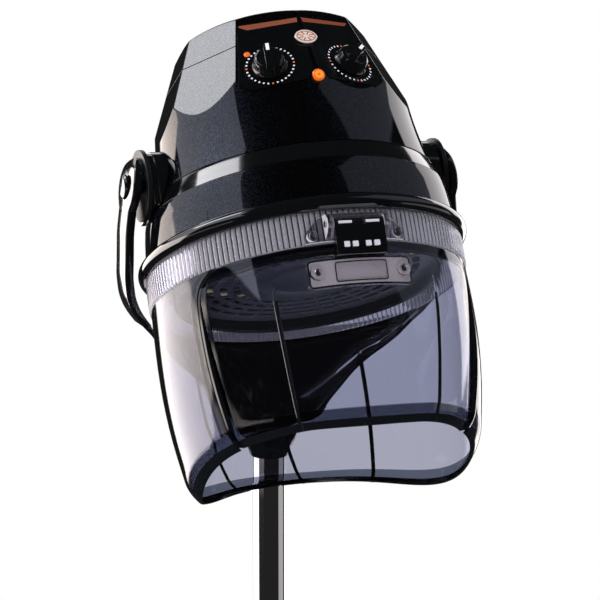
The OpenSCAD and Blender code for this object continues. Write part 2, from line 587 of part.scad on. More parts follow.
function bracket_seat_r(u) = visor_r(bracket_turn, visor_share(u)) + slip_gap;
// Skin that follows the front of the visor between two distances from it
module visor_skin(near, far) let (levels = [for (u = [bracket_high_u + 2:-4:bracket_low_u - 4]) u])
    rotate_extrude() polygon(concat([for (u = levels) [bracket_seat_r(u) + near, u]],
        [for (i = [len(levels) - 1:-1:0]) [bracket_seat_r(levels[i]) + far, levels[i]]]));
module bracket_outline(half, high, low, round_r) rotate([90, 0, 0]) linear_extrude(2 * lip_r)
    translate([-half, low]) difference() {
        square([2 * half, high - low]);
        for (x = [0, 1]) for (y = [0, 1]) translate([x * 2 * half, y * (high - low)]) difference() {
            square(2 * round_r, center = true);
            translate([(0.5 - x) * 2 * round_r, (0.5 - y) * 2 * round_r]) circle(r = round_r);
        }
    }
module visor_bracket() color(smoke) in_hood() difference() {
    union() {
        intersection() {
            visor_skin(0, bracket_t);
            bracket_outline(bracket_half, bracket_high_u, bracket_low_u, 5);
        }
        intersection() {
            screw_pair(bracket_screw_x, bracket_screw_u) cylinder(h = bracket_boss_h, r = 8);
            visor_skin(0, 60);
        }
    }
    intersection() {
        visor_skin(bracket_t - 1.6, 60);
        bracket_outline(30, bracket_high_u - 5, bracket_low_u + 5, 3);
    }
    screw_pair(bracket_screw_x, bracket_screw_u) cylinder(h = 60, r = screw_hole_r, center = true, $fn = 24);
}
bracket_boss_h = 6;
module visor_screws() color(chrome) in_hood() screw_pair(bracket_screw_x, bracket_screw_u)
    pan_screw(bracket_boss_h, 16);
gland_seat_y = max(ring_r(gland_u - gland_flange_r), ring_r(gland_u + gland_flange_r)) + 0.1;
module cable_gland() color(trim_black) in_hood() translate([0, gland_seat_y, gland_u]) rotate([-90, 0, 0])
    difference() {
        union() {
            translate([0, 0, -8]) cylinder(h = 16, r = gland_r);
            cylinder(h = 3, r = gland_flange_r);
        }
        translate([0, 0, -9]) cylinder(h = 20, r = 4.2);
    }

// ---------- tilt pivots ----------
bolt_r = 8;
boss_half = 39;
boss_stand = 12.8;               // how far the boss stands out from the shell at the pivot
boss_in = skirt_r(pivot_u) - 13;
boss_out = max(skirt_r(pivot_u) + boss_stand, band_low_r + 0.7);
disc_r = 42;
disc_t = 5.5;
arm_in_top = boss_out + slip_gap + disc_t + 0.05;
module boss_outline(half) union() {
    circle(r = half);
    translate([-half, -band_low_u * 0.55]) square([2 * half, band_low_u * 0.55]);
}
module pivot_boss(side) in_hood() on_side(side) difference() {
    translate([0, 0, pivot_u]) rotate([90, 0, 90]) union() {
        translate([0, 0, boss_in - 12]) linear_extrude(boss_out - boss_in + 5) boss_outline(boss_half);
        translate([0, 0, boss_out - 8]) linear_extrude(8) boss_outline(boss_half - 2);
    }
    rotate_extrude() polygon(concat([[0, lip_h], [ring_foot_r + slip_gap, lip_h],
        [band_low_r + slip_gap, band_low_u], [band_top_r + slip_gap, band_top_u]],
        [for (p = skirt_line) if (p[1] > band_top_u + 1) [p[0] + slip_gap, p[1]]],
        [[skirt_r(ridge_low_u) + 3, parting_u], [0, parting_u]]));
    translate([boss_in - 30, 0, pivot_u]) rotate([0, 90, 0]) cylinder(h = 80, r = bolt_r + run_gap);
}
module pivot_boss_left() color(trim_black) pivot_boss(-1);
module pivot_boss_right() color(trim_black) pivot_boss(1);
module friction_discs() color(trim_black) at_pivot() both_sides() rotate([0, 90, 0])
    translate([0, 0, boss_out + slip_gap]) difference() {
        cylinder(h = disc_t, r = disc_r);
        translate([0, 0, -1]) cylinder(h = 20, r = bolt_r + 0.1);
    }

// ---------- yoke ----------
arm_t = 11;
arm_half = 21.5;
arm_low_z = -168;
// Front view of an arm's outer face: [height above the pivot, distance outside the discs]
arm_line = [[32, 5.5], [22, 11.5], [0, 16], [-30, 19.5], [-61, 22], [-100, 22], [-125, 19], [-142, 13],
    [-155, 5], [arm_low_z, -5.5]];
// Side view of an arm's centre line: [height above the pivot, distance behind it]
arm_back = [[0, 0], [-40, 1.5], [-80, 4], [-110, 8], [-135, 14], [-155, 22], [arm_low_z, 30]];
module arm_solid() difference() {
    intersection() {
        translate([arm_in_top, 0, 0]) rotate([90, 0, 0]) translate([0, 0, -80]) linear_extrude(160)
            polygon(concat([for (p = arm_line) [p[1], p[0]]],
                [for (i = [len(arm_line) - 1:-1:0]) let (p = arm_line[i])
                    [p[0] > -40 ? max(0, p[1] - arm_t) : p[1] - arm_t, p[0]]]));
        rotate([90, 0, 90]) linear_extrude(240) union() {
            circle(r = 33);
            polygon(concat([for (p = arm_back) [p[1] - arm_half, p[0]]],
                [for (i = [len(arm_back) - 1:-1:0]) [arm_back[i][1] + arm_half, arm_back[i][0]]]));
        }
    }
    translate([100, 0, 0]) rotate([0, 90, 0]) cylinder(h = 140, r = bolt_r + 0.1);
    translate([arm_in_top + bolt_seat, 0, 0]) rotate([0, 90, 0]) cylinder(h = 40, r = bolt_head_r + 0.5);
}
module yoke_arm(side) at_pivot() on_side(side) arm_solid();
module yoke_arm_left() color(shell_black) yoke_arm(-1);
module yoke_arm_right() color(shell_black) yoke_arm(1);
bolt_head_t = 5;
bolt_head_r = 15;
bolt_seat = 15.4;                // from the inner face of the arm to the spot face under the head
nut_t = 8;
module pivot_bolts() color(trim_black) at_pivot() both_sides() rotate([0, 90, 0]) union() {
    translate([0, 0, boss_in - 5]) cylinder(h = arm_in_top + bolt_seat + 1 - boss_in + 5, r = bolt_r);
    translate([0, 0, boss_in - 4]) cylinder(h = nut_t, r = bolt_r + 4, $fn = 6);
    translate([0, 0, arm_in_top + bolt_seat + 0.2]) rotate_extrude() polygon([[0, 0], [bolt_head_r, 0],
        [bolt_head_r, 2.2], [bolt_head_r - 3, bolt_head_t], [0, bolt_head_t]]);
}

// Dished shield that gathers the two arms behind the bonnet and runs down into the socket
socket_z = -355;
shield_low_z = -323;
shield_t = 6;
// Height below the pivot, half width, front edge and back of the shield
shield_line = [[arm_low_z, arm_in_top - 5.5, -76, 20], [-186, arm_in_top - 22, -66, 30],
    [-202, arm_in_top - 32, -53, 38], [-217, arm_in_top - 45.5, -42, 42], [-233, arm_in_top - 65, -34, 42],
    [-250, arm_in_top - 83.5, -30, 41], [-268, arm_in_top - 99.5, -29, 39.5], [-288, pole_r + 47, -29, 39],
    [-306, pole_r + 34, -23, 37], [shield_low_z, pole_r + 23, -14, 35]];
function shield_at(z, k) = lookup(-z, [for (row = shield_line) [-row[0], row[k]]]);
function shield_top(theta) = -203 + (203 + arm_low_z) * pow(abs(sin(theta)), 5);
function shield_point(theta, s, inset) = let (z = shield_top(theta) + (shield_low_z - shield_top(theta)) * s,
    front = shield_at(z, 2), back = shield_at(z, 3) - inset, half = shield_at(z, 1) - inset)
    [half * sin(theta), front + (back - front) * cos(theta), z];
shield_cols = [for (a = [90:-7.5:-90]) a];
shield_rows = [for (i = [0:12]) i / 12];
function shield_net(inset) = [for (s = shield_rows) [for (a = shield_cols) shield_point(a, s, inset)]];
module yoke_shield() color(shell_black) translate([0, 0, pivot_z]) difference() {
    wall(shield_net(0), shield_net(shield_t));
    translate([0, 0, socket_z]) socket_form(0.05);
}
socket_h = 58;
socket_line = [[pole_r + 2.5, 0], [pole_r + 4, 2.5], [pole_r + 7, 10], [pole_r + 11.5, 20], [pole_r + 16, 28],
    [pole_r + 17, 36], [pole_r + 14, 44], [pole_r + 6, 52], [pole_r - 4, socket_h]];
module socket_form(grow) rotate_extrude() polygon(concat([[0, -grow]],
    [for (p = socket_line) [p[0] + grow, p[1]]], [[0, socket_h + grow]]));
socket_depth = 50;
module pole_socket() color(shell_black) translate([0, 0, pivot_z + socket_z]) difference() {
    socket_form(0);
    translate([0, 0, -1]) cylinder(h = socket_depth + 1, r = pole_r + run_gap);
}

// ---------- column ----------
pole_low_z = 520;
pole_top_z = pivot_z + socket_z + socket_depth - 0.3;
module inner_pole() color(chrome) difference() {
    translate([0, 0, pole_low_z]) cylinder(h = pole_top_z - pole_low_z, r = pole_r);
    translate([0, 0, pole_low_z - 1]) cylinder(h = 300, r = pole_r - 2);
}
bush_h = 70;
bush_wall = 2;
column_in_r = pole_r + bush_wall + run_gap;
column_r = column_in_r + column_wall;
hub_low_z = 84;
hub_floor = 3;
tube_low_z = hub_low_z + hub_floor;
screw_r = 4;
clamp_z = column_top_z - 18;
module clamp_bore(r) translate([0, 0, clamp_z]) rotate([-90, 0, 0]) cylinder(h = 80, r = r);
module column_tube() color(chrome) difference() {
    translate([0, 0, tube_low_z]) cylinder(h = column_top_z - tube_low_z, r = column_r);
    translate([0, 0, tube_low_z - 1]) cylinder(h = column_top_z - tube_low_z + 2, r = column_in_r);
    clamp_bore(screw_r + 1);
}
module column_bush() color(trim_black) difference() {
    union() {
        translate([0, 0, column_top_z - bush_h]) cylinder(h = bush_h, r = column_in_r - 0.02);
        translate([0, 0, column_top_z + 0.05]) cylinder(h = 3, r = column_r);
        translate([0, 0, column_top_z - 1]) cylinder(h = 2, r = column_in_r - 0.02);
    }
    translate([0, 0, column_top_z - bush_h - 1]) cylinder(h = bush_h + 10, r = pole_r + run_gap);
    clamp_bore(screw_r + 1);
}
collar_low_z = column_top_z - 44;
clamp_reach = 26;
module clamp_collar() color(trim_black) difference() {
    union() {
        translate([0, 0, collar_low_z]) rotate_extrude() polygon([[0, 0], [column_r + 5, 0], [column_r + 8, 4],
            [column_r + 8, 40], [column_r + 5, 43.9], [0, 43.9]]);
        translate([0, 0, clamp_z]) rotate([-90, 0, 0]) cylinder(h = column_r + 18, r = 12);
    }
    translate([0, 0, collar_low_z - 1]) cylinder(h = 60, r = column_r + 0.05);
    clamp_bore(screw_r + run_gap);
}
knob_lobes = 6;
module clamp_knob() color(trim_black) translate([0, 0, clamp_z]) rotate([-90, 0, 0]) union() {
    translate([0, 0, pole_r + slip_gap]) cylinder(h = column_r + clamp_reach - pole_r, r = screw_r);
    translate([0, 0, column_r + 18.3]) difference() {
        rotate_extrude() polygon([[0, 0], [9, 0], [11, 5], [20, 7], [20, 17], [17, 20], [0, 20]]);
        for (i = [0:knob_lobes - 1]) rotate([0, 0, i * 360 / knob_lobes]) translate([25, 0, 4])
            cylinder(h = 20, r = 9);
    }
}

// ---------- base ----------
hub_r = 40;
hub_h = 66;
castor_top_z = 2 * wheel_r + 7;
leg_top_hub = hub_low_z + 50;
stem_r = 5.5;
stem_h = 22;
module base_hub() color(trim_black) translate([0, 0, hub_low_z]) difference() {
    rotate_extrude() polygon([[0, 0], [hub_r, 0], [hub_r, hub_h - 14], [hub_r - 4, hub_h - 8],
        [column_r + 5, hub_h], [0, hub_h]]);
    translate([0, 0, hub_floor]) cylinder(h = hub_h, r = column_r + 0.05);
    translate([0, 0, -1]) cylinder(h = 10, r = column_in_r);
}
module leg_frames() for (i = [0:leg_count - 1]) rotate([0, 0, leg_turn(i)]) children();
function leg_turn(i) = 90 + i * 360 / leg_count;
boss_r = 15;
boss_low_z = castor_top_z + 0.6;
module leg() difference() {
    union() {
        intersection() {
            rotate([90, 0, 0]) translate([0, 0, -40]) linear_extrude(80) polygon([[hub_r - 6, hub_low_z + 1],
                [hub_r - 6, leg_top_hub], [hub_r + 30, leg_top_hub - 4], [hub_r + 90, leg_top_hub - 16],
                [base_r * 0.72, leg_top_hub - 32], [base_r, boss_low_z + 20], [base_r, boss_low_z + 2],
                [base_r * 0.8, boss_low_z + 4], [hub_r + 60, hub_low_z - 4]]);
            linear_extrude(300) polygon([[0, -leg_w / 2], [base_r, -boss_r * 0.75], [base_r, boss_r * 0.75],
                [0, leg_w / 2]]);
        }
        translate([base_r, 0, boss_low_z]) rotate_extrude() polygon([[0, 0], [boss_r, 0], [boss_r, 18],
            [boss_r - 4, 24], [0, 25]]);
    }
    cylinder(h = 400, r = hub_r + 0.05);
    translate([base_r, 0, boss_low_z - 1]) cylinder(h = stem_h, r = stem_r + run_gap);
}
module base_legs() color(trim_black) leg_frames() leg();

// Castors: a hooded body on a stem, twin wheels on one axle
axle_r = 3;
web_half = 4;
module castor_frame(i) rotate([0, 0, leg_turn(i)]) translate([base_r, 0, 0]) rotate([0, 0, 90]) children();
module castor_body(i) color(trim_black) castor_frame(i) difference() {
    union() {
        translate([castor_trail, 0, wheel_r]) rotate([90, 0, 0]) translate([0, 0, -web_half])
            cylinder(h = 2 * web_half, r = wheel_r - 5);
        translate([0, 0, wheel_r + 8]) cylinder(h = castor_top_z - wheel_r - 8, r = 9);
        translate([castor_trail, 0, wheel_r]) rotate([90, 0, 0]) translate([0, 0, -web_half - wheel_w - 0.6])
            difference() {
                cylinder(h = 2 * (web_half + wheel_w + 0.6), r = wheel_r + 4);
                translate([0, 0, -1]) cylinder(h = 60, r = wheel_r + 1);
                translate([-60, -70, -1]) cube([120, 70, 60]);
                translate([-4, -60, -1]) cube([80, 120, 60]);
            }
        translate([0, 0, castor_top_z - 8]) cylinder(h = 8 + stem_h - 3, r = stem_r);
    }
    translate([castor_trail, 0, wheel_r]) rotate([90, 0, 0]) translate([0, 0, -40])
        cylinder(h = 80, r = axle_r + run_gap);
    for (side = [-1, 1]) mirror([0, side < 0 ? 1 : 0, 0])
        translate([castor_trail, -web_half - wheel_w - 0.3, wheel_r]) rotate([-90, 0, 0])
            cylinder(h = wheel_w, r = wheel_r + 0.8);
}
module castor_wheels(i) color(trim_black) castor_frame(i) translate([castor_trail, 0, wheel_r])
    rotate([90, 0, 0]) union() {
        for (side = [-1, 1]) mirror([0, 0, side < 0 ? 1 : 0]) translate([0, 0, web_half + 0.3])
            rotate_extrude() polygon([[0, 0], [wheel_r - 1, 0], [wheel_r, 1.5], [wheel_r, wheel_w - 3],
                [wheel_r - 3, wheel_w], [wheel_r - 8, wheel_w], [wheel_r - 9, wheel_w - 2], [6, wheel_w - 1],
                [0, wheel_w]]);
        translate([0, 0, -web_half - 1]) cylinder(h = 2 * web_half + 2, r = axle_r);
    }

upper_shell();
top_cover();
trim_band();
mid_ring();
lip_ring();
control_plate();
badge_plate();
neon_lamp();
pilot_lamp();
timer_body();
thermostat_body();
motor();
motor_bracket();
heater_frame();
heater_coil();
air_guide();
inner_pan();
diffuser_collar();
diffuser_grille();
bonnet();
hinge_cover();
hinge_pin();
cable_gland();
pivot_boss_left();
pivot_boss_right();
hinge_screws();
visor();
visor_bracket();
visor_hinge_block();
visor_screws();
timer_knob();
thermostat_knob();
fan_wheel();
yoke_arm_left();
yoke_arm_right();
yoke_shield();
pole_socket();
friction_discs();
pivot_bolts();
inner_pole();
column_tube();
column_bush();
clamp_collar();
clamp_knob();
base_hub();
base_legs();
for (i = [1:leg_count]) castor_body(i - 1);
for (i = [1:leg_count]) castor_wheels(i - 1);
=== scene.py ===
import json
import math

import bmesh
import bpy
import numpy as np
from mathutils import Matrix, Vector

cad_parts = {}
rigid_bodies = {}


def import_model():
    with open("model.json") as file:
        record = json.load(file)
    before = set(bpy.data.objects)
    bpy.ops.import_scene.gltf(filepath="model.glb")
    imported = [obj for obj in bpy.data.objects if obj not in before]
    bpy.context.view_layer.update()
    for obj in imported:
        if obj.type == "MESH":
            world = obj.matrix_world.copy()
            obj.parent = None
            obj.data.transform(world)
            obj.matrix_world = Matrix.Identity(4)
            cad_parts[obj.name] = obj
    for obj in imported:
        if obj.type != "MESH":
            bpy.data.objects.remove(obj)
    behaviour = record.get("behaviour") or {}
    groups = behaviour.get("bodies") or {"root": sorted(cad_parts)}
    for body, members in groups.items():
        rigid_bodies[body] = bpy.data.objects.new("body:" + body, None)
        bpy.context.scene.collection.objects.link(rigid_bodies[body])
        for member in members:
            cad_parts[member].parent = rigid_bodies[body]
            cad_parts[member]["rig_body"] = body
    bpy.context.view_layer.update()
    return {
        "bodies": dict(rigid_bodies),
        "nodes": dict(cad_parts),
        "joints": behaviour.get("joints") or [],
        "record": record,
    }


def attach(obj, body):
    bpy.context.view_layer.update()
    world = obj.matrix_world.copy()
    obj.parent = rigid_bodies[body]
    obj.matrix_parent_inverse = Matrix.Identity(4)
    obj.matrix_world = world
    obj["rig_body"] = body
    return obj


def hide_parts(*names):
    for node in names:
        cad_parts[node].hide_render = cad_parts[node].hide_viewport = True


mm = 0.001
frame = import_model()
cadNodes = frame["nodes"]
scene = bpy.context.scene

# Where the hood hangs: its lean in degrees, the pivots' place on the stand and up the hood in millimetres
carriage = {"tilt": 28.5, "pivotHeight": 1330.0, "pivotForward": 85.0, "pivotLevel": 106.0}
standPlace = Matrix.Scale(mm, 4)
pivotPlace = standPlace @ Matrix.Translation((0, -carriage["pivotForward"], carriage["pivotHeight"]))
hoodPlace = (pivotPlace @ Matrix.Rotation(-math.radians(carriage["tilt"]), 4, "X")
             @ Matrix.Translation((0, 0, -carriage["pivotLevel"])))
hoodTurn = hoodPlace.to_3x3().normalized()


# Linear colour from an sRGB hex code
def tint(code):
    parts = [int(code[i:i + 2], 16) / 255 for i in (1, 3, 5)]
    return (*[c / 12.92 if c <= 0.04045 else ((c + 0.055) / 1.055) ** 2.4 for c in parts], 1.0)


# Adds a node; an input is a value or the socket that feeds it
def addNode(tree, kind, inputs=None, **settings):
    node = tree.nodes.new(kind)
    for name, value in settings.items():
        setattr(node, name, value)
    for name, value in (inputs or {}).items():
        if isinstance(value, bpy.types.NodeSocket):
            tree.links.new(value, node.inputs[name])
        else:
            node.inputs[name].default_value = value
    return node


def newMaterial(name):
    material = bpy.data.materials.new(name)
    material.use_nodes = True
    material.node_tree.nodes.clear()
    return material, material.node_tree


def closeMaterial(tree, surface):
    output = addNode(tree, "ShaderNodeOutputMaterial")
    tree.links.new(surface, output.inputs["Surface"])


# Gloss that varies over patches some millimetres wide, as moulding and handling leave it
def unevenGloss(tree, size, detail, low, high, start=0.3):
    spot = addNode(tree, "ShaderNodeTexCoord")
    patches = addNode(tree, "ShaderNodeTexNoise", {
        "Vector": spot.outputs["Object"], "Scale": 1000 / size, "Detail": detail})
    spread = addNode(tree, "ShaderNodeMapRange", {
        "Value": patches.outputs["Fac"], "From Min": start, "From Max": 0.7, "To Min": low, "To Max": high})
    return spread.outputs["Result"]


# Grain or slow waves some millimetres wide; depth is in metres
def surfaceWave(tree, size, detail, strength, depth):
    spot = addNode(tree, "ShaderNodeTexCoord")
    waves = addNode(tree, "ShaderNodeTexNoise", {
        "Vector": spot.outputs["Object"], "Scale": 1000 / size, "Detail": detail})
    bump = addNode(tree, "ShaderNodeBump", {
        "Height": waves.outputs["Fac"], "Strength": strength, "Distance": depth})
    return bump.outputs["Normal"]


# One colour with uneven gloss and, where it is moulded or ground, a fine grain
def simpleMaterial(name, code, roughness=0.4, metallic=0.0, coat=0.0, grain=0.0, grainSize=0.4,
                   wear=0.04, emission=0.0):
    material, tree = newMaterial(name)
    inputs = {"Base Color": tint(code), "Metallic": metallic, "Coat Weight": coat, "Coat Roughness": 0.04,
              "Roughness": unevenGloss(tree, 30, 4, max(0.01, roughness - wear), roughness + wear)}
    # Glow in the material's own colour: lamp light on the lamp lenses, painted light on every other part
    if emission:
        inputs["Emission Color"] = tint(code)
        inputs["Emission Strength"] = emission
    if grain:
        inputs["Normal"] = surfaceWave(tree, grainSize, 2, grain, 0.0001)
    shader = addNode(tree, "ShaderNodeBsdfPrincipled", inputs)
    closeMaterial(tree, shader.outputs["BSDF"])
    return material


# Metal flakes under a smooth clear coat; they are drawn 0.9 mm wide, as coarse as they need to be to show
def flakeMaterial(name, code, flakeCode, roughness, tilt, flakeSize=0.9):
    material, tree = newMaterial(name)
    spot = addNode(tree, "ShaderNodeTexCoord")
    cells = addNode(tree, "ShaderNodeTexVoronoi", {
        "Vector": spot.outputs["Object"], "Scale": 1000 / flakeSize})
    shine = addNode(tree, "ShaderNodeSeparateColor", {"Color": cells.outputs["Color"]})
    bright = addNode(tree, "ShaderNodeMapRange", {"Value": shine.outputs["Red"], "From Min": 0.35})
    color = addNode(tree, "ShaderNodeMix", {
        "Factor": bright.outputs["Result"], 6: tint(code), 7: tint(flakeCode)}, data_type="RGBA")
    # Each flake's normal leans its own way
    surface = addNode(tree, "ShaderNodeNewGeometry")
    centred = addNode(tree, "ShaderNodeVectorMath", {0: cells.outputs["Color"], 1: (0.5, 0.5, 0.5)},
                      operation="SUBTRACT")
    lean = addNode(tree, "ShaderNodeVectorMath", {0: centred.outputs["Vector"], "Scale": tilt},
                   operation="SCALE")
    turned = addNode(tree, "ShaderNodeVectorMath", {
        0: surface.outputs["Normal"], 1: lean.outputs["Vector"]}, operation="ADD")
    normal = addNode(tree, "ShaderNodeVectorMath", {0: turned.outputs["Vector"]}, operation="NORMALIZE")
    shader = addNode(tree, "ShaderNodeBsdfPrincipled", {
        "Base Color": color.outputs[2], "Metallic": 1.0, "Specular Tint": tint("#22242a"),
        "Roughness": unevenGloss(tree, 71.43, 3, roughness - 0.03, roughness + 0.03),
        "Normal": normal.outputs["Vector"], "Coat Weight": 1.0, "Coat Roughness": 0.015,
        "Coat Normal": surfaceWave(tree, 111.1, 1, 0.05, 0.0006)})
    closeMaterial(tree, shader.outputs["BSDF"])
    return material


# Clear moulding: it refracts, looks darker where the eye passes along the wall, and lets lamp light through
def clearMaterial(name, code, edgeCode, shadowCode, roughness=0.02, edge=(0.66, 0.78), body=0.0,
                  bodyCode="#ffffff"):
    material, tree = newMaterial(name)
    facing = addNode(tree, "ShaderNodeLayerWeight", {"Blend": 0.5})
    rim = addNode(tree, "ShaderNodeMapRange", {
        "Value": facing.outputs["Facing"], "From Min": edge[0], "From Max": edge[1]},
        interpolation_type="SMOOTHSTEP")
    color = addNode(tree, "ShaderNodeMix", {
        "Factor": rim.outputs["Result"], 6: tint(code), 7: tint(edgeCode)}, data_type="RGBA")
    glass = addNode(tree, "ShaderNodeBsdfPrincipled", {
        "Base Color": color.outputs[2], "Transmission Weight": 1.0, "IOR": 1.49,
        "Roughness": unevenGloss(tree, 25, 3, roughness * 0.6, roughness * 1.6, 0.35),
        "Normal": surfaceWave(tree, 62.5, 1, 0.06, 0.001)})
    surface = glass.outputs["BSDF"]
    if body:
        milky = addNode(tree, "ShaderNodeBsdfPrincipled", {
            "Base Color": tint(bodyCode), "Roughness": 0.3, "IOR": 1.49})
        surface = addNode(tree, "ShaderNodeMixShader", {
            "Fac": body, 1: surface, 2: milky.outputs["BSDF"]}).outputs["Shader"]
    path = addNode(tree, "ShaderNodeLightPath")
    passing = addNode(tree, "ShaderNodeBsdfTransparent", {"Color": tint(shadowCode)})
    mixed = addNode(tree, "ShaderNodeMixShader", {
        "Fac": path.outputs["Is Shadow Ray"], 1: surface, 2: passing.outputs["BSDF"]})
    closeMaterial(tree, mixed.outputs["Shader"])
    return material


# White enamel with a painted glow of its own, which mirrors show as a painted dark reflection
def grilleMaterial(name, code, paintedReflectionCode):
    material = simpleMaterial(name, code, 0.3, coat=0.3, emission=0.75)
    tree = material.node_tree
    output = tree.get_output_node("ALL")
    enamel = output.inputs["Surface"].links[0].from_socket
    dark = addNode(tree, "ShaderNodeBsdfPrincipled", {"Base Color": tint(paintedReflectionCode), "Roughness": 0.4})
    path = addNode(tree, "ShaderNodeLightPath")
    mixed = addNode(tree, "ShaderNodeMixShader", {
        "Fac": path.outputs["Is Glossy Ray"], 1: enamel, 2: dark.outputs["BSDF"]})
    tree.links.new(mixed.outputs["Shader"], output.inputs["Surface"])
    return material


# Lacquered shells: flakes glint one by one under a smooth coat; lip, yoke and shield are plain black
glossBlack = flakeMaterial("flakeBlackLacquer", "#07080b", "#3c404a", 0.36, 0.1)
lacquerBlack = simpleMaterial("blackLacquer", "#050608", 0.1, coat=1.0, wear=0.02)

# Moulded ABS: glossy on trim and knobs, satin with a fine grain on collars and discs, even on the fascia
trimBlack = simpleMaterial("glossBlackPlastic", "#050607", 0.12, coat=0.8, wear=0.03)
satinBlack = simpleMaterial("satinBlackPlastic", "#0d0e10", 0.36, grain=0.25, grainSize=0.5)
fasciaBlack = simpleMaterial("printedFasciaBlack", "#040506", 0.2, wear=0.03)

# Smoked acrylic: grey face on, dark along the wall, darker where it is thick and black at a cut edge; that
# black also draws painted shade lines on the bracket
smokeClear = clearMaterial("smokedAcrylic", "#a9abbd", "#101216", "#9a9cad", 0.02)
visorClear = clearMaterial("paleSmokedAcrylic", "#d9dbea", "#101216", "#c8cad8", 0.015)
smokeThick = clearMaterial("thickSmokedAcrylic", "#565b6e", "#101216", "#5a5e70", 0.02)
smokeEdgeAndShade = simpleMaterial("smokedEdgeAndPaintedShade", "#080a0d", 0.08, coat=0.5, wear=0.02)

# Fluted band: a little milky, with painted shade along its valleys
fluteClear = clearMaterial("flutedAcrylic", "#b4b6c6", "#14161b", "#9a9cad", 0.03, (0.8, 0.95),
                           0.2, "#d6d4de")
fluteValleyShade = clearMaterial("flutedAcrylicValleyShade", "#5c6072", "#0c0d11", "#5a5e70", 0.03, (0.7, 0.9))

# Hinge: clear polycarbonate, and pale painted highlights for its bright edges; bracket: frosted acrylic that
# scatters what is behind it
hingeClear = clearMaterial("clearPolycarbonate", "#e6e4ea", "#3a3c48", "#dcdae2", 0.03, (0.5, 0.9))
bracketClear = clearMaterial("frostedAcrylic", "#d8d3dc", "#2c2c36", "#c8c4ce", 0.1, (0.45, 0.8),
                             0.3, "#b9b2bc")
paintedHighlight = simpleMaterial("paintedEdgeHighlight", "#b4b1bc", 0.25, coat=0.6, emission=0.05)

# Metals: polished chrome mirrors sharply, zinc plating is dull and uneven
chromeMetal = simpleMaterial("polishedChrome", "#dcdde1", 0.05, metallic=1.0, wear=0.02)
zincSteel = simpleMaterial("zincPlatedSteel", "#9a9ca2", 0.38, metallic=1.0, grain=0.2)
heaterWire = simpleMaterial("nichromeWire", "#7a6a60", 0.4, metallic=1.0)
# Badge plate: pale silver with a little painted glow, so it stays light
badgeSilver = simpleMaterial("anodisedSilver", "#b7aba6", 0.35, coat=0.3, emission=0.08)

# Enamel, phenolic, mica and wheel polymer: matt to silky, in their own colours; the enamel adds a painted
# glow and painted dark reflections
whiteGrille = grilleMaterial("whiteEnamelledSteel", "#f0f0f6", "#3a3c44")
creamPlastic = simpleMaterial("creamPhenolic", "#ddd8c6", 0.45)
micaSheet = simpleMaterial("micaSheet", "#b7a680", 0.5)
wheelRubber = simpleMaterial("wheelPolymer", "#1c1d1f", 0.5, grain=0.3)

# Lit lamp lenses, and films and inks on the black fascia, which a painted glow keeps bright
lampOrange = simpleMaterial("orangeLampLens", "#f2801e", 0.15, coat=0.6, emission=0.55)
lampRim = simpleMaterial("darkOrangeLens", "#c2581c", 0.2, coat=0.6, emission=0.3)
copperFilm = simpleMaterial("copperFilm", "#6c3621", 0.35, emission=0.08)
copperInk = simpleMaterial("copperInk", "#8c4a2e", 0.4, emission=0.1)
whiteInk = simpleMaterial("whiteInk", "#c9c9d0", 0.5, emission=0.15)
orangeInk = simpleMaterial("orangeInk", "#c4622c", 0.5, emission=0.15)
print("materials done")


# Distances in metres and an angle in degrees under which meshes are welded and flat faces joined
welding = {"own": 1e-6, "cad": 2e-6, "flat": 0.6}


# Links a finished mesh as one piece of the object
def linkPiece(name, mesh, finish, body, slotName, stands=(), bevel=0.0, segments=3, angle=32.0):
    builder = bmesh.new()
    builder.from_mesh(mesh)
    bmesh.ops.remove_doubles(builder, verts=builder.verts, dist=welding["own"])
    bmesh.ops.recalc_face_normals(builder, faces=builder.faces)
    builder.to_mesh(mesh)
    builder.free()
    for surface in finish if isinstance(finish, (list, tuple)) else [finish]:
        mesh.materials.append(surface)
    mesh.shade_smooth()
    mesh.set_sharp_from_angle(angle=math.radians(angle))
    obj = bpy.data.objects.new(name, mesh)
    scene.collection.objects.link(obj)
    if bevel:
        edge = obj.modifiers.new("edge", "BEVEL")
        edge.width = bevel * mm
        edge.segments = segments
        edge.limit_method = "ANGLE"
        edge.angle_limit = math.radians(angle)
        edge.use_clamp_overlap = True
        edge.harden_normals = True
    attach(obj, body)
    if stands:
        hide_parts(*([stands] if isinstance(stands, str) else stands))
    return obj


def meshOf(name, points, faces, place):
    mesh = bpy.data.meshes.new(name)
    mesh.from_pydata([tuple(p) for p in np.asarray(points, float).reshape(-1, 3)], [], faces)
    mesh.transform(place)
    return mesh


def gridFaces(rows, cols, wrap, start=0, keep=None):
    faces = []
    for i in range(rows - 1):
        for j in range(cols if wrap else cols - 1):
            if keep is not None and not keep(i, j):
                continue
            k = (j + 1) % cols
            faces.append((start + i * cols + j, start + i * cols + k,
                          start + (i + 1) * cols + k, start + (i + 1) * cols + j))
    return faces


# Closed wall between two nets of points of shape rows, columns, 3
def wallParts(outer, inner, wrap):
    rows, cols = outer.shape[:2]
    half = rows * cols
    faces = gridFaces(rows, cols, wrap) + gridFaces(rows, cols, wrap, half)
    for j in range(cols if wrap else cols - 1):
        k = (j + 1) % cols
        faces.append((j, k, half + k, half + j))
        low = (rows - 1) * cols
        faces.append((low + j, low + k, half + low + k, half + low + j))
    if not wrap:
        for i in range(rows - 1):
            for j in (0, cols - 1):
                a, b = i * cols + j, (i + 1) * cols + j
                faces.append((a, b, half + b, half + a))
    return np.concatenate([outer.reshape(-1, 3), inner.reshape(-1, 3)]), faces


# Gives the faces that stand on edge to the hood's radius a painted highlight or painted shade
def paintSides(obj, finish, share):
    obj.data.materials.append(finish)
    index = len(obj.data.materials) - 1
    back, turnBack = hoodPlace.inverted(), hoodTurn.inverted()
    for face in obj.data.polygons:
        centre, normal = back @ face.center, turnBack @ face.normal
        outward = Vector((centre.x, centre.y, 0)).normalized()
        if abs(normal @ outward) < share:
            face.material_index = index


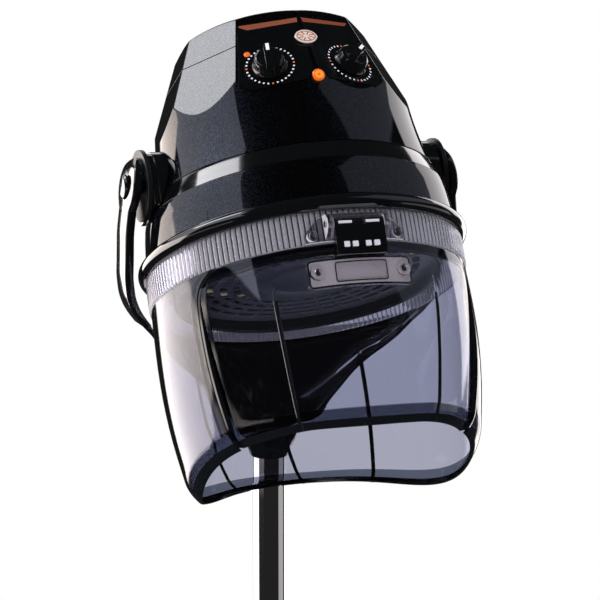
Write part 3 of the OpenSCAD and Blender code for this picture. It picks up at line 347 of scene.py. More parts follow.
# Closed profile of (radius, height) pairs turned round the z axis
def latheParts(profile, segments=192):
    loop = np.asarray(profile, float)
    angles = np.radians(np.arange(segments) * 360 / segments)
    points = np.stack([np.outer(np.cos(angles), loop[:, 0]), np.outer(np.sin(angles), loop[:, 0]),
                       np.tile(loop[:, 1], (segments, 1))], -1)
    count = len(loop)
    faces = []
    for i in range(segments):
        k = (i + 1) % segments
        for j in range(count):
            n = (j + 1) % count
            faces.append((i * count + j, i * count + n, k * count + n, k * count + j))
    return points.reshape(-1, 3), faces


def lathe(name, profile, place, finish, body, slotName, stands=(), segments=192, **options):
    points, faces = latheParts(profile, segments)
    mesh = meshOf(name, points, faces, place)
    builder = bmesh.new()
    builder.from_mesh(mesh)
    bmesh.ops.remove_doubles(builder, verts=builder.verts, dist=1e-7)
    bmesh.ops.dissolve_degenerate(builder, edges=builder.edges, dist=1e-7)
    builder.to_mesh(mesh)
    builder.free()
    return linkPiece(name, mesh, finish, body, slotName, stands, **options)


# Several (points, faces) pairs as one
def joinParts(*parts):
    points, faces, start = [], [], 0
    for some, these in parts:
        some = np.asarray(some, float).reshape(-1, 3)
        points.append(some)
        faces += [tuple(i + start for i in face) for face in these]
        start += len(some)
    return np.concatenate(points), faces


def boxParts(low, high):
    (a, b, c), (d, e, f) = low, high
    points = [(x, y, z) for x in (a, d) for y in (b, e) for z in (c, f)]
    return points, [(0, 1, 3, 2), (4, 6, 7, 5), (0, 4, 5, 1), (2, 3, 7, 6), (0, 2, 6, 4), (1, 5, 7, 3)]


# Outline of (x, y) pairs raised from z = low to z = high
def prismParts(outline, low, high):
    count = len(outline)
    points = [(x, y, low) for x, y in outline] + [(x, y, high) for x, y in outline]
    faces = [tuple(range(count)), tuple(range(count, 2 * count))]
    faces += [(i, (i + 1) % count, count + (i + 1) % count, count + i) for i in range(count)]
    return points, faces


# Smooth curve through points, without overshoot
def smoothCurve(knots, values, at):
    knots, values = np.asarray(knots, float), np.asarray(values, float)
    if knots[0] > knots[-1]:
        knots, values = knots[::-1], values[::-1]
    slope = np.diff(values) / np.diff(knots)
    lean = np.zeros_like(values)
    both = slope[:-1] * slope[1:] > 0
    lean[1:-1][both] = 2 * slope[:-1][both] * slope[1:][both] / (slope[:-1][both] + slope[1:][both])
    lean[0], lean[-1] = slope[0], slope[-1]
    at = np.clip(at, knots[0], knots[-1])
    i = np.clip(np.searchsorted(knots, at) - 1, 0, len(knots) - 2)
    width = knots[i + 1] - knots[i]
    t = (at - knots[i]) / width
    return ((2 * t ** 3 - 3 * t ** 2 + 1) * values[i] + (t ** 3 - 2 * t ** 2 + t) * width * lean[i]
            + (3 * t ** 2 - 2 * t ** 3) * values[i + 1] + (t ** 3 - t ** 2) * width * lean[i + 1])


# Finer copy of a CAD node with softened edges, which stands for it
def dress(node, finish, slotName):
    source = cadNodes[node]
    mesh = source.data.copy()
    mesh.materials.clear()
    builder = bmesh.new()
    builder.from_mesh(mesh)
    bmesh.ops.remove_doubles(builder, verts=builder.verts, dist=welding["cad"])
    bmesh.ops.dissolve_limit(builder, angle_limit=math.radians(welding["flat"]), verts=builder.verts,
                             edges=builder.edges)
    builder.to_mesh(mesh)
    builder.free()
    words = node.split("_")
    name = words[0] + "".join(w.capitalize() for w in words[1:]) + "Form"
    return linkPiece(name, mesh, finish, source["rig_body"], slotName, node, bevel=0.5, segments=2, angle=34)


# Shells: radii over the ridges and heights up the hood's axis from the lip's foot, in millimetres
hood = {
    "bandTopRadius": 168.0, "bandTop": 89.0, "bandLow": 66.0, "flare": 0.35, "wall": 3.0,
    "ridgeLowRadius": 151.5, "ridgeLow": 183.0, "ridgeTopRadius": 115.0, "ridgeTop": 272.0,
    "facets": 10, "ridgeRound": 4.0, "creaseRound": 2.4, "creaseRange": (120.0, 200.0),
    "parting": 233.0, "roofTop": 288.0, "roofBow": 5.03, "roofTurn": 4.04, "roofRange": (250.0, 285.0),
    "roofRound": 3.0, "roofDrop": 1.6,
}
facetStep = 360 / hood["facets"]
halfStep = math.radians(facetStep / 2)
apothemShare = math.cos(halfStep)
ridgeSlope = (hood["ridgeLowRadius"] - hood["ridgeTopRadius"]) / (hood["ridgeTop"] - hood["ridgeLow"])
facetLean = math.atan(apothemShare * ridgeSlope)


def ridgeRadius(u):
    return hood["ridgeLowRadius"] - (u - hood["ridgeLow"]) * ridgeSlope


# Round skirt that flares out faster towards the band
def skirtRadius(u):
    s = (hood["ridgeLow"] - u) / (hood["ridgeLow"] - hood["bandTop"])
    flare = hood["flare"]
    return hood["ridgeLowRadius"] + (hood["bandTopRadius"] - hood["ridgeLowRadius"]) * np.where(
        s < 0, flare * s, flare * s + (1 - flare) * s * s)


# Radius of the ten-sided top with softened ridges; theta is in degrees from the front ridge
def facetRadius(theta, u, inset=0.0):
    delta = np.radians(np.abs((theta + facetStep / 2) % facetStep - facetStep / 2))
    flat = apothemShare * ridgeRadius(u) - inset * apothemShare
    rounding = hood["ridgeRound"]
    centre = (flat - rounding) / apothemShare
    tangent = np.arctan2(rounding * math.sin(halfStep), centre + rounding * apothemShare)
    corner = centre * np.cos(delta) + np.sqrt(np.maximum(0, rounding ** 2 - (centre * np.sin(delta)) ** 2))
    return np.where(delta < tangent, corner, flat / np.cos(halfStep - delta))


# The smaller of two values, blended over a width k
def softMin(a, b, k):
    h = np.clip(0.5 + 0.5 * (b - a) / k, 0, 1)
    return b * (1 - h) + a * h - k * h * (1 - h)


# Columns lie close together over each ridge and 2 degrees apart across a facet
ridgeColumns = [0, 0.15, 0.3, 0.45, 0.62, 1.0, 2.0]
ridges = [facetStep * i for i in range(hood["facets"])]
closeColumns = {round(ridge + side * c, 4) for ridge in ridges for c in ridgeColumns for side in (-1, 1)}
facetColumns = np.array(sorted(closeColumns | {ridge + c for ridge in ridges for c in np.arange(4, 33, 2.0)}))
facetColumns = facetColumns[(facetColumns >= 0) & (facetColumns < 360)]


# Point at an angle from the front, in degrees
def polar(theta, radius, u):
    angle = np.radians(theta)
    return np.stack([radius * np.sin(angle), -radius * np.cos(angle), u + 0 * angle], -1)


# Height, for each column, from which a test holds; 40 halvings of the range
def levelWhere(test, levels):
    low, high = np.full_like(facetColumns, levels[0]), np.full_like(facetColumns, levels[1])
    for _ in range(40):
        middle = (low + high) / 2
        above = test(middle)
        high = np.where(above, middle, high)
        low = np.where(above, low, middle)
    return (low + high) / 2


def shellNet(inset):
    # The facets run out into the round skirt along this curved crease
    crease = levelWhere(lambda u: facetRadius(facetColumns, u) < skirtRadius(u), hood["creaseRange"])
    lowest, highest, soft = hood["bandTop"] + 0.05, hood["parting"] - 0.25, hood["creaseRound"]
    rows = [lowest + (crease - soft - lowest) * share for share in np.linspace(0, 1, 14)]
    rows += [crease + step for step in (-1.6, -0.9, -0.4, 0, 0.4, 0.9, 1.6, soft)]
    rows += [crease + soft + (highest - crease - soft) * share for share in np.linspace(0, 1, 10)[1:]]
    levels = np.array(rows)
    theta = np.tile(facetColumns, (len(levels), 1))
    radius = softMin(facetRadius(theta, levels), skirtRadius(levels), 0.5) - inset
    return polar(theta, radius, levels)


points, faces = wallParts(shellNet(0.0), shellNet(hood["wall"]), True)
linkPiece("upperShellForm", meshOf("upperShellForm", points, faces, hoodPlace), glossBlack,
          "hood", "gloss_black", "upper_shell", bevel=0.5, angle=40)


# Shallow dome that falls faster towards its rim
def roofLevel(radius, inset):
    part = radius / 100
    return hood["roofTop"] - inset - hood["roofBow"] * part ** 2 - hood["roofTurn"] * part ** 6


def coverNet(inset):
    theta = facetColumns
    edge = levelWhere(lambda u: roofLevel(facetRadius(theta, u, inset), inset) < u, hood["roofRange"])
    base, drop, soft = hood["parting"] + 0.25, hood["roofDrop"], hood["roofRound"]
    rows = []
    for share in np.linspace(0, 1, 12):
        level = base + (edge - drop - base) * share
        rows.append(polar(theta, facetRadius(theta, level, inset), level))
    rim = facetRadius(theta, edge, inset)
    for blend in np.linspace(0, 1, 8)[1:]:
        level = edge - drop * (1 - blend) ** 2 + soft * blend ** 2 * 0.55
        radius = rim + (facetRadius(theta, edge - drop, inset) - rim) * (1 - blend) - soft * blend ** 2
        rows.append(polar(theta, radius, np.minimum(level, roofLevel(radius, inset))))
    for share in (0.93, 0.85, 0.75, 0.62, 0.48, 0.34, 0.2, 0.08, 0.0):
        radius = (rim - soft) * share
        rows.append(polar(theta, radius, roofLevel(radius, inset)))
    return np.array(rows)


points, faces = wallParts(coverNet(0.0), coverNet(hood["wall"]), True)
linkPiece("topCoverForm", meshOf("topCoverForm", points, faces, hoodPlace), glossBlack,
          "hood", "gloss_black", "top_cover", bevel=0.5, angle=40)

# Rings under the shells, as closed outlines of (radius, height) pairs; the lip's front is an elliptic bead
bandLow, bandTop = hood["bandLow"], hood["bandTop"]
rings = {
    "trimBand": [(176.9, bandLow + 0.2), (173.0, bandLow + 9), (168.8, bandTop - 3), (167.2, bandTop - 0.2),
                 (165, bandTop - 0.2), (164, bandTop - 6), (174, bandLow + 0.2)],
    "midRing": [(183.4, 19.7), (182.4, 30), (180.6, 48), (178.6, 62), (177.6, bandLow), (173, bandLow),
                (173, 62), (176, 58), (180.4, 23.5), (177.4, 19.7)],
    "lipBack": [(180, 19.5), (177, 16.5), (177, 7), (174, 7), (174, 0), (177, 0)],
    "beadCentre": (182, 9.165), "beadHalf": (12, 10.335), "beadTurn": (-62, 84), "lipHeight": 19.5,
}
lathe("trimBandForm", rings["trimBand"], hoodPlace, trimBlack, "hood", "gloss_black", "trim_band", 256,
      bevel=0.4, angle=25)
lathe("midRingForm", rings["midRing"], hoodPlace, glossBlack, "hood", "gloss_black", "mid_ring", 256,
      bevel=0.7, angle=20)
bead = []
for turn in np.radians(np.linspace(*rings["beadTurn"], 22)):
    height = rings["beadCentre"][1] + rings["beadHalf"][1] * math.sin(turn)
    bead.append((rings["beadCentre"][0] + rings["beadHalf"][0] * math.cos(turn),
                 max(0.0, min(rings["lipHeight"], height))))
lathe("lipRingForm", bead + rings["lipBack"], hoodPlace, lacquerBlack, "hood", "gloss_black", "lip_ring", 256,
      angle=50)
print("hood shells done")


# Clear mouldings: sizes that the bonnet and the visor share, in millimetres and degrees
clear = {"top": 184.6, "wall": 3.0, "rib": 2.2, "ribHalf": 0.8, "corner": 36.0, "lip": 2.0, "footFrom": 0.89,
         "footCurl": 8.0, "lipFrom": 0.962}
band = {"height": 37.0, "flutes": 180, "steps": 8, "radius": 184.9, "depth": 1.7, "inner": 181.0}
bonnet = {"edge": 61.45, "columns": 150, "top": -37.05, "depth": 232.0, "lobe": 30.0, "lobeTurn": 108,
          "lobeWidth": 32, "bow": 2.2, "bowRate": 1.2, "sideFoot": 170.0, "rearFoot": 134.0,
          "frontFoot": 162.0, "frontRun": 29, "draw": 3, "ribs": (145, 180, 215), "ribFrom": 0.16,
          "ribRun": 0.06}
visor = {"edge": 61.0, "columns": 100, "top": -38.6, "depth": 233.0, "bow": 3.0, "bowRate": 1.1,
         "sideFoot": 159.0, "frontFoot": 141.0, "dent": 2.5, "dentTurn": 28, "dentWidth": 7, "draw": 1.5,
         "ribs": (-31, 31), "ribFrom": 0.27, "ribRun": 0.05, "edgeDraw": 22.4, "edgeDrop": 198.6}
# Rows of both walls, as shares of their height; they lie close together at the top and the foot
wallShares = np.array([
    0, 0.008, 0.02, 0.034, 0.05, 0.062, 0.08, 0.1, 0.14, 0.21, 0.28, 0.36, 0.44, 0.52, 0.6, 0.68,
    0.75, 0.81, 0.86, 0.89, 0.91, 0.93, 0.95, 0.965, 0.974, 0.982, 0.99, 1.0])[:, None]
# Angles from an upright edge at which the wall's finish changes: black, thick, black, thick
frameLine = (0.0, 0.9, 1.0, 2.9, 3.5, 4.3)
plainWall, thickWall, blackWall, fluteWall, valleyShadeWall = range(5)


# How far the foot curls in
def rimInset(s):
    return clear["footCurl"] * (np.maximum(0, (s - clear["footFrom"]) / (1 - clear["footFrom"]))) ** 2


# How much thicker the wall gets at its rolled lip
def lipExtra(s):
    return clear["lip"] * np.clip((s - clear["lipFrom"]) / 0.02, 0, 1)


# How far the opening's edge leans to the middle in its round upper corners, in degrees
def cornerLean(u):
    radius = clear["corner"]
    rise = np.clip(radius + band["height"] + u, 0, radius)
    return np.degrees((radius - np.sqrt(radius ** 2 - rise ** 2)) / clear["top"])


# Height of the round-backed ribs at an angle
def ribLift(theta, ribs):
    lift = np.zeros_like(theta)
    for rib in ribs:
        across = (theta - rib) / clear["ribHalf"]
        lift = np.maximum(lift, clear["rib"] * np.sqrt(np.maximum(0, 1 - across ** 2)))
    return lift


# Columns of a wall: even ones, with closer ones at the upright edges and over the ribs
def ribbedColumns(low, high, form):
    half, frame = clear["ribHalf"], frameLine[-1] + 0.4
    base = [t for t in np.linspace(low, high, form["columns"])
            if all(abs(t - r) > half + 0.35 for r in form["ribs"]) and low + frame < t < high - frame]
    base += [low + w for w in frameLine] + [high - w for w in frameLine]
    steps = [half * k for k in (-1.3, -1.02, -1, -0.95, -0.8, -0.5, 0, 0.5, 0.8, 0.95, 1, 1.02, 1.3)]
    return np.array(sorted(base + [r + s for r in form["ribs"] for s in steps]))


# Bulge of a wall between its top and its foot
def wallBow(form, s):
    return form["bow"] * np.sin(math.pi * np.minimum(1, form["bowRate"] * s))


# Radius of a wall with its curled foot and lip, and on its outer side the ribs
def wallRadius(form, theta, foot, inset):
    s, top = wallShares, clear["top"]
    radius = top + wallBow(form, s) + (foot - top) * s ** form["draw"] - rimInset(s)
    if inset:
        return radius - inset - lipExtra(s)
    return radius + ribLift(theta, form["ribs"]) * np.clip((s - form["ribFrom"]) / form["ribRun"], 0, 1)


bonnetColumns = ribbedColumns(bonnet["edge"], 360 - bonnet["edge"], bonnet)
visorColumns = ribbedColumns(-visor["edge"], visor["edge"], visor)


def bonnetNet(inset):
    theta = bonnetColumns
    a = np.abs(theta - 180)
    side, rear, front = bonnet["sideFoot"], bonnet["rearFoot"], bonnet["frontFoot"]
    foot = np.where(a > 90, side - (side - front) * ((a - 90) / bonnet["frontRun"]) ** 2,
                    side - (side - rear) * np.cos(np.radians(np.minimum(a, 90))) ** 3)
    lobe = np.exp(-((180 - a - bonnet["lobeTurn"]) / bonnet["lobeWidth"]) ** 2)
    footLevel = -bonnet["depth"] - bonnet["lobe"] * lobe
    level = bonnet["top"] + (footLevel - bonnet["top"]) * wallShares
    sideShare = np.clip((a - 90) / (90 - bonnet["edge"]), 0, 1)
    turned = theta[None, :] + np.sign(theta - 180)[None, :] * sideShare ** 2 * cornerLean(level)
    return polar(turned, wallRadius(bonnet, theta, foot, inset), level)


# Fluted band: pinched waves outside, which fade out at its two rims, and a round bore
def fluteNet(outerSide):
    count, steps = band["flutes"], band["steps"]
    theta = np.arange(count * steps) * 360 / (count * steps)
    rows = []
    for level in (-0.1, -0.8, -1.6, -3.2, -10, -18, -26, -33, -35.2, -36.2, -band["height"]):
        fade = min(1.0, max(0.0, (-0.8 - level) / 2.0)) * min(1.0, max(0.0, (level + 36.6) / 2.0))
        wave = np.abs(np.cos(np.radians(theta) * count / 2)) ** 0.7
        radius = np.full_like(theta, band["inner"])
        if outerSide:
            radius = band["radius"] + band["depth"] * wave * fade
        rows.append(polar(theta, radius, np.full_like(theta, level)))
    return np.array(rows)


# Finish of a face of a wall's nets: black and thick at the ribs, the upright edges and the foot
def wallFinish(form, theta, ribFrom, i, j, side):
    share = float(wallShares[i, 0] + wallShares[i + 1, 0]) / 2
    turn = (theta[j] + theta[j + 1]) / 2
    onRib = any(abs(turn - rib) < clear["ribHalf"] * 1.01 for rib in form["ribs"])
    if share > clear["lipFrom"] or (side == 0 and share > ribFrom and onRib):
        return blackWall
    if share > 0.9:
        return thickWall
    away = min(turn - theta[0], theta[-1] - turn)
    if away < frameLine[2] or frameLine[3] < away < frameLine[4]:
        return blackWall
    return thickWall if away < frameLine[4] else plainWall


# Closed wall of a moulding with the finish of each face; its rims are black
def paintedWall(net, theta, finishOf):
    points, faces = wallParts(net(0.0), net(clear["wall"]), False)
    marks = [finishOf(i, j, side) for side in range(2) for i in range(len(wallShares) - 1)
             for j in range(len(theta) - 1)]
    return points, faces, marks + [blackWall] * (len(faces) - len(marks))


wallPoints, wallFaces, wallMarks = paintedWall(
    bonnetNet, bonnetColumns, lambda i, j, side: wallFinish(bonnet, bonnetColumns, 0.18, i, j, side))
bandPoints, bandFaces = wallParts(fluteNet(True), fluteNet(False), True)
outerFaces = 10 * band["flutes"] * band["steps"]
# Outer faces in each flute's valley get painted shade
bandMarks = [valleyShadeWall if i < outerFaces and i % band["steps"] in (3, 4) else fluteWall
             for i in range(len(bandFaces))]
points, faces = joinParts((wallPoints, wallFaces), (bandPoints, bandFaces))
mesh = meshOf("bonnetForm", points, faces, hoodPlace)
mesh.polygons.foreach_set("material_index", wallMarks + bandMarks)
linkPiece("bonnetForm", mesh, [smokeClear, smokeThick, smokeEdgeAndShade, fluteClear, fluteValleyShade], "hood",
          "smoke_clear", "bonnet", bevel=0.7, angle=50)


# Level of the visor's rows, and how far its turned-out side rim stands off its wall to meet the bonnet's edge
def visorLevel(s):
    return visor["top"] - (visor["depth"] + visor["top"]) * s


def edgeStep(s, visorRadius):
    share = np.clip((bonnet["top"] - visorLevel(s)) / visor["edgeDrop"], 0, 1)
    bonnetRadius = clear["top"] + wallBow(bonnet, share) - visor["edgeDraw"] * share ** 3 - rimInset(share)
    return np.clip(bonnetRadius - visorRadius - 0.2, 0, 8)


def visorNet(inset):
    theta, s = visorColumns, wallShares
    front = visor["frontFoot"] / np.cos(np.radians(theta))
    foot = softMin(np.full_like(theta, visor["sideFoot"]), front, 4.0)
    foot = foot - visor["dent"] * np.exp(-((np.abs(theta) - visor["dentTurn"]) / visor["dentWidth"]) ** 2)
    radius = wallRadius(visor, theta, foot, inset)
    if not inset:
        onEdge = visor["edge"] - np.abs(theta) < frameLine[1] + 0.05
        radius = radius + edgeStep(s, radius) * onEdge
    level = visorLevel(s)
    share = (np.abs(theta) / visor["edge"]) ** 3
    turned = theta[None, :] - np.sign(theta)[None, :] * share * cornerLean(level + 2.0)
    return polar(turned, radius, level + 0 * theta[None, :])


# The visor's top rows are thick, with a black line at the rim and below them
def visorFinish(i, j, side):
    share = float(wallShares[i, 0] + wallShares[i + 1, 0]) / 2
    if share < 0.008 or 0.05 < share < 0.062:
        return blackWall
    finish = wallFinish(visor, visorColumns, 0.3, i, j, side)
    return max(thickWall, finish) if share < 0.05 else finish


points, faces, marks = paintedWall(visorNet, visorColumns, visorFinish)
mesh = meshOf("visorForm", points, faces, hoodPlace)
mesh.polygons.foreach_set("material_index", marks)
linkPiece("visorForm", mesh, [visorClear, smokeThick, smokeEdgeAndShade], "visor_flap", "smoke_clear", "visor",
          bevel=0.7, angle=50)
print("clear mouldings done")


# Diffuser: a slotted disc with a dished middle; every column follows a bar's parallel side
diffuser = {"radius": 152.9, "level": -20.0, "thick": 2.4, "bar": 3.8, "slots": 30, "slotRings": 4,
            "slotOuter": 134.5, "slotPitch": 16, "slotWidth": 8.5,
            "slotShares": (-1, -0.6, -0.2, 0.2, 0.6, 1), "inner": 46.0, "dropFrom": 60, "drop": 2.0,
            "rim": (144.0, 149.0), "round": 0.5,
            "dish": [(45.0, 0.2), (44.0, 0.8), (38.0, -0.6), (26.0, -1.4), (12.0, -1.8)]}
collarProfile = [(153, -16), (153, 6), (162, 6), (162, 4), (157, 3), (157, -32), (155.5, -34), (153.5, -34),
                 (151, -32), (151, -20.5), (153.2, -20.5), (153.2, -16)]


def diffuserParts():
    count, shares = diffuser["slots"], diffuser["slotShares"]
    radii, slotRows = [diffuser["inner"]], set()
    for ring in reversed(range(diffuser["slotRings"])):
        high = diffuser["slotOuter"] - diffuser["slotPitch"] * ring
        slotRows.add(len(radii))
        radii += [high - diffuser["slotWidth"], high]
    radii += [*diffuser["rim"], diffuser["radius"]]
    points = []
    for radius in radii:
        lean = math.degrees(math.asin(diffuser["bar"] / 2 / radius))
        drop = -diffuser["drop"] * max(0.0, 1 - radius / diffuser["dropFrom"])
        for k in range(count):
            for share in shares:
                angle = math.radians(k * 360 / count + (180 / count - lean) * share)
                points.append((radius * math.cos(angle), radius * math.sin(angle), drop))
    cols, last = count * len(shares), len(shares) - 1
    faces = gridFaces(len(radii), cols, True,
                      keep=lambda i, j: not (i in slotRows and j % len(shares) != last))
    start, rows = len(points), len(diffuser["dish"])
    for radius, level in diffuser["dish"]:
        for x, y, _ in points[:cols]:
            angle = math.atan2(y, x)
            points.append((radius * math.cos(angle), radius * math.sin(angle), level))
    faces += [(j, (j + 1) % cols, start + (j + 1) % cols, start + j) for j in range(cols)]
    faces += gridFaces(rows, cols, True, start)
    faces.append(tuple(start + (rows - 1) * cols + j for j in range(cols)))
    return points, faces


points, faces = diffuserParts()
grillePlace = hoodPlace @ Matrix.Translation((0, 0, diffuser["level"] + diffuser["thick"] / 2))
grilleMesh = meshOf("diffuserGrilleForm", points, faces, grillePlace)
grille = linkPiece("diffuserGrilleForm", grilleMesh, whiteGrille, "hood", "white_grille", "diffuser_grille",
                   angle=40)
thick = grille.modifiers.new("thickness", "SOLIDIFY")
thick.thickness = diffuser["thick"] * mm
thick.offset = 0
soft = grille.modifiers.new("edge", "BEVEL")
soft.width = diffuser["round"] * mm
soft.segments = 2
soft.limit_method = "ANGLE"
soft.angle_limit = math.radians(50)
lathe("diffuserCollarForm", collarProfile, hoodPlace, satinBlack, "hood", "satin_black", "diffuser_collar",
      256, bevel=0.5)
print("diffuser done")

# Yoke, in millimetres from the pivots: an arm's outer face and middle line as (height, value) pairs, and
# the shield's line as (height, half width, front, back)
arm = {"inside": 184.55, "thick": 11, "eye": 33, "half": 21.5, "round": 3.2,
       "face": [(33, 4.6), (32, 5.5), (22, 11.5), (0, 16), (-30, 19.5), (-61, 22), (-100, 22), (-125, 19),
                (-142, 13), (-155, 5), (-168, -5.5)],
       "middle": [(33, 0), (0, 0), (-40, 1.5), (-80, 4), (-110, 8), (-135, 14), (-155, 22), (-168, 30)]}
shield = {"wall": 6.0, "rise": -203, "horn": 35, "foot": -323,
          "line": [(-168, 179.05, -76, 20), (-186, 162.55, -66, 30), (-202, 152.55, -53, 38),
                   (-217, 139.05, -42, 42), (-233, 119.55, -34, 42), (-250, 101.05, -30, 41),
                   (-268, 85.05, -29, 39.5), (-288, 67, -29, 39), (-306, 54, -23, 37), (-323, 43, -14, 35)]}
socket = {"height": 58, "bore": 20.05, "boreTop": 50, "foot": -355,
          "line": [(0, 22.5), (2.5, 24), (10, 27), (20, 31.5), (28, 36), (36, 37), (44, 34), (52, 26),
                   (58, 16)]}


# Smooth curve through the pairs of a line, read at some levels
def lineAt(line, levels, column=1):
    return smoothCurve([row[0] for row in line], [row[column] for row in line], levels)


# Rectangle with round corners, as a loop of (x, y) pairs
def roundedLoop(x0, x1, y0, y1, corner, steps=5):
    corner = min(corner, (x1 - x0) / 2 * 0.98, (y1 - y0) / 2 * 0.98)
    loop = []
    for cx, cy, start in ((x1 - corner, y1 - corner, 0), (x0 + corner, y1 - corner, 90),
                          (x0 + corner, y0 + corner, 180), (x1 - corner, y0 + corner, 270)):
        for k in range(steps + 1):
            angle = math.radians(start + 90 * k / steps)
            loop.append((cx + corner * math.cos(angle), cy + corner * math.sin(angle)))
    return loop


# An arm is a stack of rounded sections, from the round eye at the pivot down to the shield
def armParts(side):
    eye, inside = arm["eye"], arm["inside"]
    levels = np.concatenate([eye * np.cos(np.radians(np.linspace(6, 60, 10))), np.linspace(12, -30, 12),
                             np.linspace(-36, -168, 34)])
    rings = []
    for z, face, middle in zip(levels, lineAt(arm["face"], levels), lineAt(arm["middle"], levels)):
        half = arm["half"]
        if z > -25:
            eyeHalf = math.sqrt(max(0.5, eye ** 2 - z ** 2))
            half = eyeHalf if z > 0 else max(half, eyeHalf)
        near = max(0, face - arm["thick"]) if z > -40 else face - arm["thick"]
        ring = roundedLoop(inside + near, inside + face, middle - half, middle + half, arm["round"])
        rings.append([(side * x, y, z) for x, y in ring])
    net = np.array(rings)
    count = net.shape[1]
    faces = gridFaces(len(levels), count, True)
    faces.append(tuple(range(count)))
    faces.append(tuple((len(levels) - 1) * count + j for j in range(count)))
    return net.reshape(-1, 3), faces


for side, word in ((-1, "Left"), (1, "Right")):
    points, faces = armParts(side)
    name = "yokeArm" + word + "Form"
    linkPiece(name, meshOf(name, points, faces, pivotPlace), lacquerBlack, "yoke", "gloss_black",
              "yoke_arm_" + word.lower(), angle=46)


# Dished shield behind the bonnet, with two horns up to the arms
def shieldNet(inset):
    angle = np.radians(np.linspace(-90, 90, 97))
    top = shield["rise"] + shield["horn"] * np.abs(np.sin(angle)) ** 5
    rows = []
    for share in np.linspace(0, 1, 60):
        z = top + (shield["foot"] - top) * share
        half, front, back = [lineAt(shield["line"], z, column) for column in (1, 2, 3)]
        depth = back - inset - front
        rows.append(np.stack([(half - inset) * np.sin(angle), front + depth * np.cos(angle), z], -1))
    return np.array(rows)


points, faces = wallParts(shieldNet(0.0), shieldNet(shield["wall"]), False)
shieldPlace = standPlace @ Matrix.Translation((0, 0, carriage["pivotHeight"]))
linkPiece("yokeShieldForm", meshOf("yokeShieldForm", points, faces, shieldPlace), lacquerBlack,
          "yoke", "gloss_black", "yoke_shield", bevel=1.6, segments=4, angle=46)
socketLevels = np.linspace(0, socket["height"], 40)
socketProfile = [(socket["bore"], 0), *zip(lineAt(socket["line"], socketLevels), socketLevels),
                 (0.01, socket["height"]), (0.01, socket["boreTop"]), (socket["bore"], socket["boreTop"])]
socketPlace = shieldPlace @ Matrix.Translation((0, 0, socket["foot"]))
lathe("poleSocketForm", socketProfile, socketPlace, lacquerBlack, "yoke", "gloss_black", "pole_socket", 96,
      angle=40)
print("yoke done")

# Pole and column as closed outlines of (radius, height) pairs, millimetres above the floor
tubes = {"pole": [(18, 520), (20, 520), (20, 1024.7), (14, 1024.7), (14, 824), (18, 822)],
         "column": [(22.05, 87), (25.05, 87), (25.05, 740), (22.05, 740)]}
lathe("innerPoleForm", tubes["pole"], standPlace, chromeMetal, "mast", "chrome", "inner_pole", 128, bevel=0.6)
lathe("columnTubeForm", tubes["column"], standPlace, chromeMetal, "base", "chrome", "column_tube", 128,
      bevel=0.5)

# Nodes whose CAD shape is right get softened edges; two have their sides painted:
# painted dark edges on the bracket, a painted highlight on the hinge cover
paintedSideLight = {"visor_bracket": (trimBlack, 0.5), "hinge_cover": (paintedHighlight, 0.3)}
for node, finish, slotName in (
        ("column_bush", satinBlack, "satin_black"), ("clamp_collar", satinBlack, "satin_black"),
        ("clamp_knob", satinBlack, "satin_black"), ("base_hub", trimBlack, "gloss_black"),
        ("base_legs", trimBlack, "gloss_black"), ("friction_discs", satinBlack, "satin_black"),
        ("pivot_bolts", trimBlack, "gloss_black"), ("pivot_boss_left", trimBlack, "gloss_black"),
        ("pivot_boss_right", trimBlack, "gloss_black"), ("control_plate", fasciaBlack, "satin_black"),
        ("badge_plate", badgeSilver, "silver"), ("neon_lamp", lampOrange, "lamp_orange"),
        ("pilot_lamp", lampRim, "lamp_orange"), ("timer_knob", trimBlack, "satin_black"),
        ("thermostat_knob", trimBlack, "satin_black"), ("hinge_cover", hingeClear, "smoke_clear"),
        ("hinge_pin", chromeMetal, "chrome"), ("hinge_screws", zincSteel, "zinc_steel"),
        ("visor_hinge_block", trimBlack, "gloss_black"), ("visor_bracket", bracketClear, "smoke_clear"),
        ("visor_screws", chromeMetal, "chrome"), ("cable_gland", satinBlack, "satin_black")):
    made = dress(node, finish, slotName)
    if node in paintedSideLight:
        paintSides(made, *paintedSideLight[node])
for i in range(1, 6):
    dress(f"castor_body_{i}", satinBlack, "satin_black")
    dress(f"castor_wheels_{i}", wheelRubber, "wheel_rubber")

# Inner nodes keep their CAD mesh
for node, finish, slotName in (
        ("timer_body", creamPlastic, "cream_plastic"), ("thermostat_body", creamPlastic, "cream_plastic"),
        ("motor", zincSteel, "zinc_steel"), ("motor_bracket", zincSteel, "zinc_steel"),
        ("heater_frame", micaSheet, "mica"), ("heater_coil", heaterWire, "heater_wire"),
        ("air_guide", zincSteel, "zinc_steel"), ("inner_pan", zincSteel, "zinc_steel"),
        ("fan_wheel", creamPlastic, "cream_plastic")):
    shown = cadNodes[node]
    shown.data.materials.clear()
    shown.data.materials.append(finish)
    shown.data.shade_smooth()
    shown.data.set_sharp_from_angle(angle=math.radians(34))
print("stand done")


